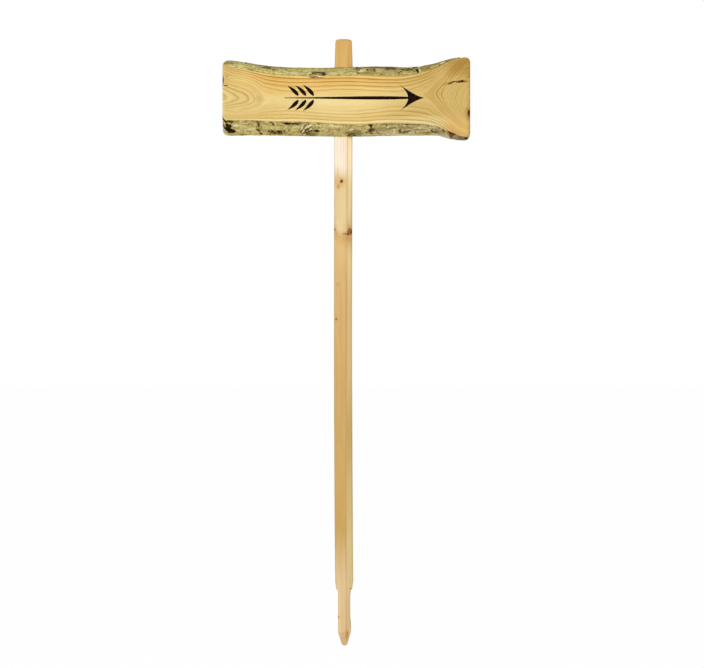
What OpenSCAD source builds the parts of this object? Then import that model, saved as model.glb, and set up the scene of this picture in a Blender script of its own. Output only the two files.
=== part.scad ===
// Wooden signpost: a live-edge board screwed to the front of a square post
// that is driven into the ground. Millimetres. The origin is on the post's axis
// at the foot of its sawn shoulders, +Z is up and the board faces -Y.

/* [Post] */
// Side of the square post
post_w = 45; // [40:1:60]
// Height of the post above the foot of its shoulders
post_h = 1366; // [900:1:1900]
// Radius of the softened arrises
post_arris_r = 3; // [1:0.5:6]
// Length over which the top narrows gently
crown_l = 95; // [30:1:140]
// How far each side has come in at the top of that length
crown_in = 2.2; // [0.5:0.1:4]
// Radius that rounds each side into the end grain
crown_r = 4.5; // [2:0.5:8]
// Rise of the domed end grain
crown_dome = 1.6; // [0.5:0.1:4]

/* [Wane] */
// Width of the wane on the front right arris at the top of the post
wane_top_w = 11.5; // [6:0.5:18]
// Width of the wane at the shoulders
wane_foot_w = 18.5; // [6:0.5:19]
// Slope of the wane, measured from the front face
wane_angle = 33; // [15:1:45]

/* [Ground end] */
// Width of the tongue between its two sawn cheeks
tongue_w = 32; // [24:1:36]
// Length of the tongue with its point
tongue_l = 137; // [80:1:300]
// Length of the shoulders, where the saw runs out to the full width
shoulder_l = 24; // [12:1:60]
// Radius of the saw's turn at the foot of each shoulder
shoulder_r = 3.5; // [1:0.5:4]
// Length of the four-sided point
point_l = 35; // [25:1:70]
// Radius of the blunt tip
tip_r = 8; // [3:0.5:10]

/* [Board] */
// Length of the board
board_l = 610; // [450:1:900]
// How far the board's middle sits to the right of the post
board_shift = 7; // [-60:1:60]
// Height of the board at its waist, with the bark
board_h = 170; // [150:1:210]
// Thickness of the board
board_t = 30; // [28:1:45]
// How far the post stands above the board's waist
post_proud = 72; // [40:1:150]
// Radius of the board's end corners
end_r = 13; // [6:1:18]
// Radius of the sanded front arris at each end
end_ease = 2.5; // [1:0.5:4]
// Share of each live edge's fall that is straight, the rest being curved
edge_straight = 0.69; // [0.4:0.01:0.95]

/* [Bark] */
// Thickness of the long bark strips
bark_t = 3; // [2:0.1:4]
// Thickness of the worn bark at the two right corners
corner_bark_t = 1.6; // [1:0.1:2]
// Distance from the board's right end to the crack across the upper bark
upper_crack = 124; // [90:1:160]
// Width of that crack
crack_w = 3; // [1:0.5:8]
// How far the crack leans to the right on its way to the front face
crack_lean = 8; // [0:1:16]
// Distance from the right end to where the upper corner bark runs out
upper_end = 25; // [16:1:40]
// Distance from the right end to the cavity in the lower bark
cavity_at = 54; // [45:1:80]
// Width of that cavity at the front face
cavity_w = 18; // [10:1:24]
// Width that is left of it at the back face
cavity_back_w = 2; // [1:0.5:6]
// Distance from the right end to where the lower corner bark runs out
lower_end = 2.5; // [1:0.5:12]
// Thickness of the outer bark plates
plate_t = 1.2; // [0.8:0.1:2]

/* [Screws] */
// Nominal diameter of the wood screws
screw_d = 5; // [4:0.5:6]
// How deep the screws bite into the board
screw_bite = 18; // [12:1:24]
// Depth of the heads below the post's back face
screw_sink = 3; // [0:0.5:6]
// Distance between the two screws
screw_gap = 90; // [50:1:110]
// Play around each screw in the post
shank_play = 0.25; // [0.1:0.05:0.5]
// Play around each thread in the board
thread_play = 0.05; // [0.02:0.01:0.1]

/* [Hidden] */
$fn = 48;
over = 1;

// The board's live edges: height above, and depth below, its waist at a few
// stations. A station is a share of half the length, from -1 to 1, and a height
// is a share of the board's height.
upper_edge = [[-1, 0.112], [-0.86, 0.088], [-0.72, 0.047], [-0.6, 0.019], [-0.45, 0.003],
              [-0.15, -0.003], [0.1, 0.012], [0.36, 0.015], [0.46, 0.005], [0.58, 0.019],
              [0.7, 0.054], [0.82, 0.118], [0.9, 0.147], [1, 0.162]];
lower_edge = [[-1, -0.012], [-0.8, -0.018], [-0.45, -0.012], [-0.1, 0.002], [0.12, 0.002],
              [0.3, -0.008], [0.6, -0.015], [0.75, -0.009], [0.82, 0.027], [0.9, 0.052], [1, 0.062]];
// How far each live edge falls from its outline to the front face, as a share of
// the board's thickness
upper_fall = [[-1, 0.33], [-0.93, 0.61], [-0.85, 0.66], [-0.6, 0.75], [0, 0.79], [0.25, 0.81],
              [0.38, 0.8], [0.5, 0.71], [0.6, 0.66], [0.66, 0.57], [0.72, 0.47], [0.8, 0.39],
              [0.87, 0.23], [0.93, 0.18], [1, 0.15]];
lower_fall = [[-1, 1.2], [-0.85, 1.18], [-0.6, 1.08], [-0.4, 1.07], [-0.2, 1.03], [0, 0.93],
              [0.1, 0.91], [0.25, 0.95], [0.4, 0.93], [0.55, 0.87], [0.68, 0.79], [0.76, 0.63],
              [0.82, 0.5], [0.9, 0.33], [1, 0.17]];
// Outer bark plates: place along the board from -1 to 1, place from the back (0)
// to the front (1), half the length as a share of the board's, and half the width
// as a share of its thickness
upper_plates = [[-0.63, 0.38, 0.028, 0.18], [-0.24, 0.76, 0.034, 0.15], [0.09, 0.45, 0.015, 0.2],
                [0.36, 0.4, 0.023, 0.2], [0.5, 0.55, 0.025, 0.2]];
lower_plates = [[-0.905, 0.78, 0.018, 0.14], [-0.89, 0.42, 0.02, 0.12], [-0.565, 0.32, 0.031, 0.14],
                [-0.32, 0.5, 0.02, 0.24], [0.04, 0.27, 0.016, 0.13], [0.2, 0.6, 0.011, 0.22],
                [0.47, 0.5, 0.03, 0.16], [0.7, 0.62, 0.018, 0.2]];

board_back = -post_w / 2;
waist_top = post_h - post_proud;
waist_bottom = waist_top - board_h;
board_x0 = board_shift - board_l / 2;
board_x1 = board_shift + board_l / 2;
crack_x = board_x1 - upper_crack;
upper_end_x = board_x1 - upper_end;
cavity_x = board_x1 - cavity_at;
lower_end_x = board_x1 - lower_end;
station_gap = 11;
edge_steps = 6;
end_steps = 5;
lean_reach = 40;
least_fall = 0.5;
plate_seat = 0.2;

screw_l = post_w - screw_sink + screw_bite;
thread_r = screw_d / 2;
shank_r = 0.36 * screw_d;
head_r = screw_d;
head_rim = 0.4;
head_h = head_rim + head_r - shank_r;
screw_tip_l = 1.4 * screw_d;
screw_heights = [for (side = [-1, 1]) waist_top - board_h / 2 + side * screw_gap / 2];

// Smooth curve through the stations of a list, read at one share of the length
function slope_at(p, i) =
    let (a = p[max(0, i - 1)], b = p[min(len(p) - 1, i + 1)])
    (b[1] - a[1]) / (b[0] - a[0]);
function segment_of(p, s, i = 0) =
    i == len(p) - 2 || s <= p[i + 1][0] ? i : segment_of(p, s, i + 1);
function hermite(a, b, slope_a, slope_b, d, t) =
    (2 * t * t * t - 3 * t * t + 1) * a + (t * t * t - 2 * t * t + t) * d * slope_a
    + (3 * t * t - 2 * t * t * t) * b + (t * t * t - t * t) * d * slope_b;
function curve(p, s) =
    let (i = segment_of(p, s), d = p[i + 1][0] - p[i][0])
    hermite(p[i][1], p[i + 1][1], slope_at(p, i), slope_at(p, i + 1), d, (s - p[i][0]) / d);

// Places of the loft's sections: an even spread, closer in the rounded corners,
// with one at each end of each bark strip
function sorted(v) = len(v) == 0 ? [] :
    let (first = v[0])
    concat(sorted([for (x = v) if (x < first - 0.05) x]), [first],
           sorted([for (x = v) if (x > first + 0.05) x]));
places = let (steps = ceil((board_l - 2 * end_r) / station_gap))
    sorted(concat([board_x0, board_x1, crack_x, crack_x + crack_w, upper_end_x,
                   cavity_x, cavity_x + cavity_w, lower_end_x],
        [for (i = [1 : end_steps - 1]) for (side = [-1, 1])
            board_shift + side * (board_l / 2 - end_r * (1 - cos(90 * i / end_steps)))],
        [for (i = [0 : steps]) board_x0 + end_r + (board_l - 2 * end_r) * i / steps]));

// One point of a live edge, u of the way from the back face to the front, where
// side is 1 for the upper edge and -1 for the lower, and lift is above the wood
function end_distance(x) = min(x - board_x0, board_x1 - x);
function round_off(r, d) = d >= r ? 0 : r - sqrt(max(0, r * r - (r - d) * (r - d)));
function bark_at(x, side) = side > 0
    ? lookup(x, [[crack_x, bark_t], [crack_x + crack_w, corner_bark_t],
                 [upper_end_x, corner_bark_t], [board_x1, 0]])
    : lookup(x, [[cavity_x, bark_t], [cavity_x + cavity_w, corner_bark_t]]);
function lean(x, u, side) = side > 0
    ? crack_lean * (u - 0.5) * lookup(x, [[crack_x - lean_reach, 0], [crack_x, 1], [upper_end_x, 0]])
    : (cavity_w - cavity_back_w) / 2 * (1 - u)
      * lookup(x, [[cavity_x - lean_reach, 0], [cavity_x, 1], [cavity_x + cavity_w, -1], [board_x1, 0]]);
function edge_y(x, u) = board_back - u * (board_t - round_off(end_ease, end_distance(x)));
function edge_z(x, u, side, lift) =
    let (share = (x - board_shift) / (board_l / 2),
         outline = board_h * curve(side > 0 ? upper_edge : lower_edge, share)
             - round_off(end_r, end_distance(x)),
         whole_fall = board_t * curve(side > 0 ? upper_fall : lower_fall, share),
         wood_fall = max(least_fall, whole_fall - bark_at(x, side)),
         fall = wood_fall * (edge_straight * u + (1 - edge_straight) * u * u),
         slope = wood_fall * (edge_straight + 2 * (1 - edge_straight) * u) / board_t)
    (side > 0 ? waist_top : waist_bottom)
    + side * (outline - (whole_fall - wood_fall) - fall + lift * sqrt(1 + slope * slope));
function edge_point(x, u, side, lift) =
    let (at = x + lean(x, u, side))
    [at, edge_y(at, u), edge_z(at, u, side, lift)];

// Closed loft through rings of equal length, each cell split along its shorter
// diagonal, so that two lofts with a shared surface meet face to face
module loft(rings) {
    n = len(rings[0]);
    m = len(rings);
    points = [for (r = rings) each r];
    skin = [for (i = [0 : m - 2]) for (j = [0 : n - 1])
        let (a = i * n + j, b = i * n + (j + 1) % n, c = a + n, d = b + n)
        each (norm(points[b] - points[c]) < norm(points[a] - points[d])
              ? [[a, c, b], [b, c, d]] : [[a, d, b], [a, c, d]])];
    ends = [[for (j = [0 : n - 1]) j], [for (j = [n - 1 : -1 : 0]) (m - 1) * n + j]];
    polyhedron(points = points, faces = concat(skin, ends));
}

function board_ring(x) = concat(
    [for (j = [0 : edge_steps]) edge_point(x, j / edge_steps, 1, 0)],
    [for (j = [edge_steps : -1 : 0]) edge_point(x, j / edge_steps, -1, 0)]);

function bark_ring(x, side) =
    let (outer = [for (j = [0 : edge_steps]) edge_point(x, j / edge_steps, side, bark_at(x, side))],
         inner = [for (j = [edge_steps : -1 : 0]) edge_point(x, j / edge_steps, side, 0)],
         ring = concat(outer, inner))
    side > 0 ? ring : [for (j = [len(ring) - 1 : -1 : 0]) ring[j]];

module bark_strip(side, x_from, x_to) {
    loft([for (x = places) if (x > x_from - 0.1 && x < x_to + 0.1) bark_ring(x, side)]);
}

// Thin plate with a ragged outline that follows the bark below it
plate_sides = 11;
function plate_point(p, side, k, reach, lift) =
    let (ragged = reach * (1 + 0.16 * sin(137 * k) + 0.1 * sin(251 * k + 360 * p[1])),
         angle = 360 * k / plate_sides,
         x = board_shift + p[0] * board_l / 2 + p[2] * board_l * ragged * cos(angle),
         u = p[1] + p[3] * ragged * sin(angle))
    edge_point(x, u, side, bark_at(x, side) + plate_seat + lift);
module outer_bark_plate(p, side) {
    n = plate_sides;
    order = side > 0 ? [for (k = [0 : n - 1]) k] : [for (k = [n - 1 : -1 : 0]) k];
    points = concat(
        [plate_point(p, side, 0, 0, 0), plate_point(p, side, 0, 0, plate_t)],
        [for (k = order) plate_point(p, side, k, 0.5, 0)],
        [for (k = order) plate_point(p, side, k, 1, 0)],
        [for (k = order) plate_point(p, side, k, 0.92, 0.7 * plate_t)],
        [for (k = order) plate_point(p, side, k, 0.5, plate_t)]);
    rows = [for (r = [0 : 2]) for (j = [0 : n - 1])
        let (a = 2 + r * n + j, b = 2 + r * n + (j + 1) % n)
        each [[a, b, a + n], [b, b + n, a + n]]];
    bottom = [for (j = [0 : n - 1]) [0, 2 + (j + 1) % n, 2 + j]];
    top = [for (j = [0 : n - 1]) [1, 2 + 3 * n + j, 2 + 3 * n + (j + 1) % n]];
    polyhedron(points = points, faces = concat(bottom, rows, top));
}

// Half outline of the post's pointed end: a round tip that runs out tangentially
// into a straight slope, up to half the width at the point's full length
function point_slope(w) =
    acos(tip_r / norm([w, point_l - tip_r])) - atan2(point_l - tip_r, w);
function point_outline(w) = concat(
    [for (k = [0 : 5]) let (angle = -90 + (90 - point_slope(w)) * k / 5)
        [tip_r * cos(angle), tip_r - tongue_l + tip_r * sin(angle)]],
    [[w, point_l - tongue_l]]);
// Half outline of the post's top: the sides come in gently, round over and run
// out into a shallow dome
function crown_outline() =
    let (shoulder = post_w / 2 - crown_in, turn_z = post_h - crown_dome - crown_r)
    concat(
        [for (k = [8 : -1 : 1])
            [shoulder + crown_in * (1 - pow(1 - k / 8, 2)), turn_z - crown_l * k / 8]],
        [for (angle = [0 : 15 : 75])
            [shoulder - crown_r * (1 - cos(angle)), turn_z + crown_r * sin(angle)]],
        [for (k = [6 : -1 : 0])
            [(shoulder - crown_r) * k / 6, post_h - crown_dome * k * k / 36]]);
function shoulder_outline() = concat(
    [for (angle = [180 : -18 : 90])
        [tongue_w / 2 + shoulder_r * (1 + cos(angle)), shoulder_r * sin(angle)]],
    [[post_w / 2, shoulder_l]]);
module whole_outline(half) {
    mirrored = [for (k = [len(half) - 2 : -1 : 1]) [-half[k][0], half[k][1]]];
    polygon(concat(half, mirrored));
}
module front_outline() {
    whole_outline(concat(point_outline(tongue_w / 2), shoulder_outline(), crown_outline()));
}
module side_outline() {
    whole_outline(concat(point_outline(post_w / 2), crown_outline()));
}
module section() {
    inner = post_w - 2 * post_arris_r;
    square([post_w, inner], center = true);
    square([inner, post_w], center = true);
    for (x = [-1, 1]) for (y = [-1, 1])
        translate([x * inner / 2, y * inner / 2]) circle(post_arris_r);
}

// Block in front of the wane's sloping face
module wane_cut() {
    tilt = atan((wane_foot_w - wane_top_w) / post_h);
    reach = 2 * post_w;
    translate([post_w / 2 - wane_foot_w, -post_w / 2, 0])
    rotate([0, tilt, 0])
    rotate([0, 0, wane_angle])
    translate([-reach, -reach, -2 * tongue_l])
    cube([2 * reach, reach, post_h + 4 * tongue_l]);
}

// Places its children at both screws, with +Z running forwards into the board
module at_screws() {
    for (z = screw_heights) translate([0, post_w / 2 - screw_sink, z]) rotate([90, 0, 0]) children();
}

module post() {
    seat = 0.1;
    color("burlywood")
    difference() {
        intersection() {
            rotate([90, 0, 0])
                linear_extrude(height = post_w + 2 * over, center = true) front_outline();
            rotate([90, 0, 90])
                linear_extrude(height = post_w + 2 * over, center = true) side_outline();
            translate([0, 0, -tongue_l - over])
                linear_extrude(height = post_h + tongue_l + 2 * over) section();
        }
        wane_cut();
        at_screws() {
            rotate_extrude() polygon([
                [0, -screw_sink - over], [head_r + seat, -screw_sink - over],
                [head_r + seat, head_rim + seat],
                [thread_r + shank_play, head_rim + head_r - thread_r - shank_play + 2 * seat],
                [thread_r + shank_play, post_w + over], [0, post_w + over]]);
        }
    }
}

module board() {
    color("wheat")
    difference() {
        loft([for (x = places) board_ring(x)]);
        at_screws() translate([0, 0, post_w - screw_sink - over])
            cylinder(r = thread_r + thread_play, h = screw_bite + 2 * over);
    }
}

module upper_bark() {
    color("darkkhaki") bark_strip(1, board_x0, crack_x);
}

module upper_corner_bark() {
    color("darkkhaki") bark_strip(1, crack_x + crack_w, upper_end_x);
}

module lower_bark() {
    color("darkkhaki") bark_strip(-1, board_x0, cavity_x);
}

module lower_corner_bark() {
    color("gray") bark_strip(-1, cavity_x + cavity_w, lower_end_x);
}

module upper_outer_bark() {
    color("saddlebrown") for (p = upper_plates) outer_bark_plate(p, 1);
}

module lower_outer_bark() {
    color("saddlebrown") for (p = lower_plates) outer_bark_plate(p, -1);
}

// Countersunk screw, revolved, with a six-lobe recess
module screw() {
    smooth_l = 0.4 * screw_l;
    recess_r = 0.3 * screw_d;
    recess_depth = 0.5 * screw_d;
    lobe_r = 0.12 * screw_d;
    difference() {
        rotate_extrude() polygon([
            [0, 0], [head_r, 0], [head_r, head_rim], [shank_r, head_h], [shank_r, smooth_l],
            [thread_r, smooth_l + thread_r], [thread_r, screw_l - screw_tip_l], [0, screw_l]]);
        translate([0, 0, -over]) linear_extrude(height = over + recess_depth) {
            circle(recess_r);
            for (k = [0 : 5]) rotate(60 * k) translate([recess_r, 0]) circle(lobe_r);
        }
    }
}

module fixing_screws() {
    color("silver") at_screws() screw();
}

post();
board();
upper_bark();
upper_corner_bark();
lower_bark();
lower_corner_bark();
upper_outer_bark();
lower_outer_bark();
fixing_screws();
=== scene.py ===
import functools
import math
import random

import bmesh
import bpy
import numpy as np
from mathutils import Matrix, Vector, noise
from mathutils.bvhtree import BVHTree


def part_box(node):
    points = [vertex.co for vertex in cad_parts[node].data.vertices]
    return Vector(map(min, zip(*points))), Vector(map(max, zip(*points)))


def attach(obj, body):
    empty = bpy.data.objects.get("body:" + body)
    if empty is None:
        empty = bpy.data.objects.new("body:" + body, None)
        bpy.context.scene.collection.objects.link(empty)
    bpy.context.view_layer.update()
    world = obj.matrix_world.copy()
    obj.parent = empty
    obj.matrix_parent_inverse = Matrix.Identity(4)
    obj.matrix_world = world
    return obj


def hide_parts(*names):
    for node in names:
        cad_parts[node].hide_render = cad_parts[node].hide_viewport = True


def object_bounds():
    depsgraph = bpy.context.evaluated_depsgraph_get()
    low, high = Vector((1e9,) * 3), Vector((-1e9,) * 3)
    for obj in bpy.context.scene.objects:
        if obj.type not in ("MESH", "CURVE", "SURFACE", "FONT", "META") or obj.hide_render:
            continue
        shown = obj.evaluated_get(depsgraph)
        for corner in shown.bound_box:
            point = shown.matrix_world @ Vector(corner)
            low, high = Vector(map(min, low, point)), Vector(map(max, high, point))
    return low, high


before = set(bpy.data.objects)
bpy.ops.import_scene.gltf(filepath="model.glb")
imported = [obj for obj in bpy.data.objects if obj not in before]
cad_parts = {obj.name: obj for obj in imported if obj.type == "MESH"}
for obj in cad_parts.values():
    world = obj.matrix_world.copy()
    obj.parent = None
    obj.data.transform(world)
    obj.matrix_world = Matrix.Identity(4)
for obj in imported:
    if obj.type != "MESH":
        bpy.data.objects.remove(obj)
cadBox = [list(corner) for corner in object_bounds()]

# Shapes are worked out in millimetres and turned to metres as their mesh is made
mm = 0.001


# Small tools for numbers and places

def smooth(low, high, value):
    t = np.clip((value - low) / (high - low), 0, 1)
    return t * t * (3 - 2 * t)


def hill(x, y):
    # 1 in the middle, and gone about two units away
    return np.exp(-x ** 2 - y ** 2)


def stacked(x, y, z):
    # Points from three coordinates, each of them an array or one number
    return np.stack(np.broadcast_arrays(x, y, z), -1)


def turned(x, z, degrees):
    # A place measured along and across a line that leans by this much
    c, s = math.cos(math.radians(degrees)), math.sin(math.radians(degrees))
    return x * c + z * s, z * c - x * s


def ripple(points, height, size, seed, octaves=3):
    # Fractal noise of about this height both ways, with features of the given size in
    # millimetres; each seed looks at another place in the noise
    seedStep, rough, finer = 17.3, 0.9, 2.0
    scaled = np.asarray(points, float) / np.asarray(size, float) + seedStep * seed
    return height * np.array([noise.fractal(Vector(p), rough, finer, octaves) for p in scaled])


def curveThrough(stations, at):
    # Smooth curve through a few given stations of (place, value)
    x, y = np.array(stations, float).T
    slopes = np.gradient(y, x)
    i = np.clip(np.searchsorted(x, at) - 1, 0, len(x) - 2)
    d = x[i + 1] - x[i]
    t = np.clip((at - x[i]) / d, 0, 1)
    return ((2 * t**3 - 3 * t**2 + 1) * y[i] + (t**3 - 2 * t**2 + t) * d * slopes[i]
            + (3 * t**2 - 2 * t**3) * y[i + 1] + (t**3 - t**2) * d * slopes[i + 1])


def cellIndex(places, at):
    # Which stretch of a rising list of places each value lies in, and how far along it
    at = np.interp(at, places, np.arange(len(places)))
    i = np.clip(np.floor(at).astype(int), 0, len(places) - 2)
    return i, at - i


def bezier(points, steps):
    path = []
    for k in range(steps + 1):
        row = [Vector(p) for p in points]
        while len(row) > 1:
            row = [a.lerp(b, k / steps) for a, b in zip(row, row[1:])]
        path.append(row[0])
    return path


def strokeOutline(centre, halfWidths):
    # Closed outline of a pen stroke along a centre line, with its half width at each point
    left, right = [], []
    for k, p in enumerate(centre):
        ahead = Vector(centre[min(k + 1, len(centre) - 1)]) - Vector(centre[max(k - 1, 0)])
        across = Vector((-ahead[1], ahead[0])).normalized() * halfWidths[k]
        left.append(Vector(p) + across)
        right.append(Vector(p) - across)
    return left + right[::-1]


# Small tools for meshes

def meshObject(name, points, faces):
    mesh = bpy.data.meshes.new(name)
    mesh.from_pydata((np.asarray(points, float) * mm).tolist(), [], [list(f) for f in faces])
    obj = bpy.data.objects.new(name, mesh)
    bpy.context.scene.collection.objects.link(obj)
    work = bmesh.new()
    work.from_mesh(mesh)
    bmesh.ops.recalc_face_normals(work, faces=work.faces)
    work.to_mesh(mesh)
    work.free()
    return obj


def setValues(obj, **layers):
    # Values at the points of a mesh, for its material to read
    for name, values in layers.items():
        layer = obj.data.attributes.new(name, "FLOAT", "POINT")
        layer.data.foreach_set("value", np.asarray(values, np.float32))


def blockObject(name, cells, place):
    # Skin of a block of cells; place turns shares (0 to 1) of its three ways into points
    # and the values that are kept at them
    ni, nj, nk = cells
    i, j, k = np.meshgrid(range(ni + 1), range(nj + 1), range(nk + 1), indexing="ij")
    skin = (i % ni == 0) | (j % nj == 0) | (k % nk == 0)
    ids = np.full(skin.shape, -1)
    ids[skin] = np.arange(skin.sum())
    faces = []
    for sheet in (ids[0], ids[-1], ids[:, 0], ids[:, -1], ids[:, :, 0], ids[:, :, -1]):
        corners = [sheet[:-1, :-1], sheet[1:, :-1], sheet[1:, 1:], sheet[:-1, 1:]]
        faces.append(np.stack(corners, -1).reshape(-1, 4))
    points, values = place(i[skin] / ni, j[skin] / nj, k[skin] / nk)
    obj = meshObject(name, points, np.concatenate(faces))
    setValues(obj, **values)
    return obj


def tubeFaces(rings, sides, first=0, capped=False):
    # Faces between rings of points that follow each other in a list, and over both ends
    faces = []
    for row in range(rings - 1):
        for k in range(sides):
            a, b = first + row * sides + k, first + row * sides + (k + 1) % sides
            faces.append([a, b, b + sides, a + sides])
    if capped:
        faces += [[start + k for k in range(sides)] for start in (first, first + (rings - 1) * sides)]
    return faces


def prisms(name, outlines, near, far):
    # Closed prisms through the board's thickness, from outlines of (x, z) points
    points, faces = [], []
    for outline in outlines:
        n, first = len(outline), len(points)
        points += [(p[0], y, p[1]) for y in (near, far) for p in outline]
        faces += [[first + k for k in range(n)], [first + n + k for k in range(n)][::-1]]
        faces += tubeFaces(2, n, first)
    return meshObject(name, points, faces)


def roundCutter(name, profile, x, z, sides=40):
    # Turned body along the depth of the board, from (radius, y) points
    turns = [2 * math.pi * k / sides for k in range(sides)]
    points = [(x + r * math.cos(turn), y, z + r * math.sin(turn)) for r, y in profile for turn in turns]
    return meshObject(name, points, tubeFaces(len(profile), sides, capped=True))


def carve(obj, cutters):
    for cutter in cutters:
        cut = obj.modifiers.new("carved", "BOOLEAN")
        cut.operation, cut.solver, cut.object = "DIFFERENCE", "EXACT", cutter
    graph = bpy.context.evaluated_depsgraph_get()
    mesh = bpy.data.meshes.new_from_object(obj.evaluated_get(graph))
    obj.modifiers.clear()
    obj.data = mesh
    for cutter in cutters:
        bpy.data.objects.remove(cutter)


def pointsOf(obj):
    points = np.zeros(len(obj.data.vertices) * 3)
    obj.data.vertices.foreach_get("co", points)
    return points.reshape(-1, 3) / mm


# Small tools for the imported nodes

def boxOf(node):
    return [[c / mm for c in corner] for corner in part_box(node)]


def treeOf(node):
    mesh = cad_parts[node].data
    return BVHTree.FromPolygons([v.co / mm for v in mesh.vertices], [list(p.vertices) for p in mesh.polygons])


def hitPoint(tree, start, way):
    return tree.ray_cast(Vector(start), Vector(way))[0]


sharpAngle = 38  # edges that turn by more than this many degrees stay crisp


def addPiece(obj, material, stands=()):
    obj.data.materials.clear()
    obj.data.materials.append(material)
    obj.data.shade_smooth()
    obj.data.set_sharp_from_angle(angle=math.radians(sharpAngle))
    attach(obj, "root")
    if stands:
        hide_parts(*stands)


# Small tools for materials

def linear(text):
    # sRGB hex such as "E3BE7A" to linear colour with alpha
    shares = [int(text[k:k + 2], 16) / 255 for k in (0, 2, 4)]
    return [c / 12.92 if c <= 0.04045 else ((c + 0.055) / 1.055) ** 2.4 for c in shares] + [1.0]


def addNode(tree, kind, *inputs, named=None, stops=None, **settings):
    # Inputs go to the node's sockets in order, or by name. Each is a number, a hex colour,
    # a socket, or a node, whose first output is then used.
    node = tree.nodes.new("ShaderNode" + kind)
    if kind == "Mix":
        node.data_type = "RGBA"
    for key, value in settings.items():
        setattr(node, key, value)
    sockets = list(zip([s for s in node.inputs if s.enabled], inputs))
    sockets += [(node.inputs[key], value) for key, value in (named or {}).items()]
    for socket, value in sockets:
        if isinstance(value, bpy.types.Node):
            value = next(s for s in value.outputs if s.enabled)
        if isinstance(value, bpy.types.NodeSocket):
            tree.links.new(value, socket)
        else:
            socket.default_value = linear(value) if isinstance(value, str) else value
    if stops:
        while len(node.color_ramp.elements) < len(stops):
            node.color_ramp.elements.new(0.5)
        for element, (position, value) in zip(node.color_ramp.elements, stops):
            element.position = position
            element.color = linear(value) if isinstance(value, str) else (value, value, value, 1)
    return node


def newMaterial(name, *values):
    # A material, the function that adds a node to it, and the points' values that it reads
    material = bpy.data.materials.new(name)
    material.use_nodes = True
    material.node_tree.nodes.clear()
    add = functools.partial(addNode, material.node_tree)
    return material, add, *[add("Attribute", attribute_name=key).outputs["Fac"] for key in values]


def patternScale(size):
    # For features of this size in millimetres, or of one size for each of x, y and z
    return [1000 / s for s in size] if isinstance(size, tuple) else 1000 / size


def tinted(add, colour, value, start, full, shade, most=1.0):
    # Lets a shade in as a value goes from start to full
    share = add("MapRange", value, start, full, 0.0, most)
    return add("Mix", share, colour, shade)


def toned(add, colour, value, stops, share):
    # Multiplies by a ramp over a value
    ramp = add("ValToRGB", value, stops=stops)
    return add("Mix", share, colour, ramp, blend_type="MULTIPLY")


def coat(add, look, colour, height=None):
    # What every material here ends in
    sockets = {"roughness": "Roughness", "ior": "IOR", "gloss": "Specular IOR Level", "metallic": "Metallic"}
    given = {socket: look[key] for key, socket in sockets.items() if key in look}
    if height is not None:
        strength, depth = look["bump"]
        given["Normal"] = add("Bump", named={"Height": height, "Strength": strength, "Distance": depth * mm})
    add("OutputMaterial", add("BsdfPrincipled", colour, named=given))


# Camera, light and floor

# What the photograph shows: its size, its scale at the post's front face, the
# distance it was taken from and the point at its middle
shot = {"width": 704, "mmPerPixel": 2.4728, "distance": 6000, "planeY": -22.5, "middle": (21, 635.5),
        "sensor": 36, "clipEnd": 60}
studio = {
    # Power, size and place of each lamp, in watts and metres
    "lamps": {"frontSoftbox": (205, 2.6, (-1.7, -5.0, 2.5)), "sideSoftbox": (10, 1.6, (2.6, -2.0, 1.6))},
    "target": (0, 0, 0.75), "surround": 0.5,
    "floorHalf": 30000, "floorColour": "EFEFED", "floorWhite": 0.98,
}


def seenRays(add):
    # 1 where the camera sees a thing, by itself, in a reflection or through glass
    path = add("LightPath")
    seen = path.outputs["Is Camera Ray"]
    for ray in ("Is Glossy Ray", "Is Transmission Ray"):
        seen = add("Math", seen, path.outputs[ray], operation="MAXIMUM")
    return seen


def makeStage():
    scene = bpy.context.scene
    camera = bpy.data.objects.new("photoCamera", bpy.data.cameras.new("photoCamera"))
    scene.collection.objects.link(camera)
    seenSpan = shot["width"] * shot["mmPerPixel"]
    camera.data.sensor_width = shot["sensor"]
    camera.data.lens = shot["sensor"] * (shot["distance"] + shot["planeY"]) / seenSpan
    camera.data.clip_end = shot["clipEnd"]
    camera.location = (shot["middle"][0] * mm, -shot["distance"] * mm, shot["middle"][1] * mm)
    camera.rotation_euler = (math.pi / 2, 0, 0)
    scene.camera = camera
    scene.view_settings.view_transform = "Standard"

    for name, (power, size, at) in studio["lamps"].items():
        lamp = bpy.data.objects.new(name, bpy.data.lights.new(name, "AREA"))
        scene.collection.objects.link(lamp)
        lamp.data.energy = power
        lamp.data.size = size
        lamp.location = at
        lamp.rotation_euler = (Vector(studio["target"]) - Vector(at)).to_track_quat("-Z", "Y").to_euler()

    world = bpy.data.worlds.new("studio")
    scene.world = world
    world.use_nodes = True
    world.node_tree.nodes.clear()
    add = functools.partial(addNode, world.node_tree)
    lit = add("Background", "FFFFFF", studio["surround"])
    white = add("Background", "FFFFFF", 1.0)
    add("OutputWorld", add("MixShader", seenRays(add), lit, white))

    material, add = newMaterial("paleFloor")
    shown = add("Math", seenRays(add), studio["floorWhite"], operation="MULTIPLY")
    matt = add("BsdfDiffuse", studio["floorColour"])
    white = add("Emission", "FFFFFF", 1.0)
    add("OutputMaterial", add("MixShader", shown, matt, white))
    low, half = cadBox[0][2] / mm, studio["floorHalf"]
    corners = [(x * half, y * half, low) for x, y in ((-1, -1), (1, -1), (1, 1), (-1, 1))]
    floor = meshObject("floor", corners, [[0, 1, 2, 3]])
    floor.data.materials.append(material)


makeStage()
print("stage ready")


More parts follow.
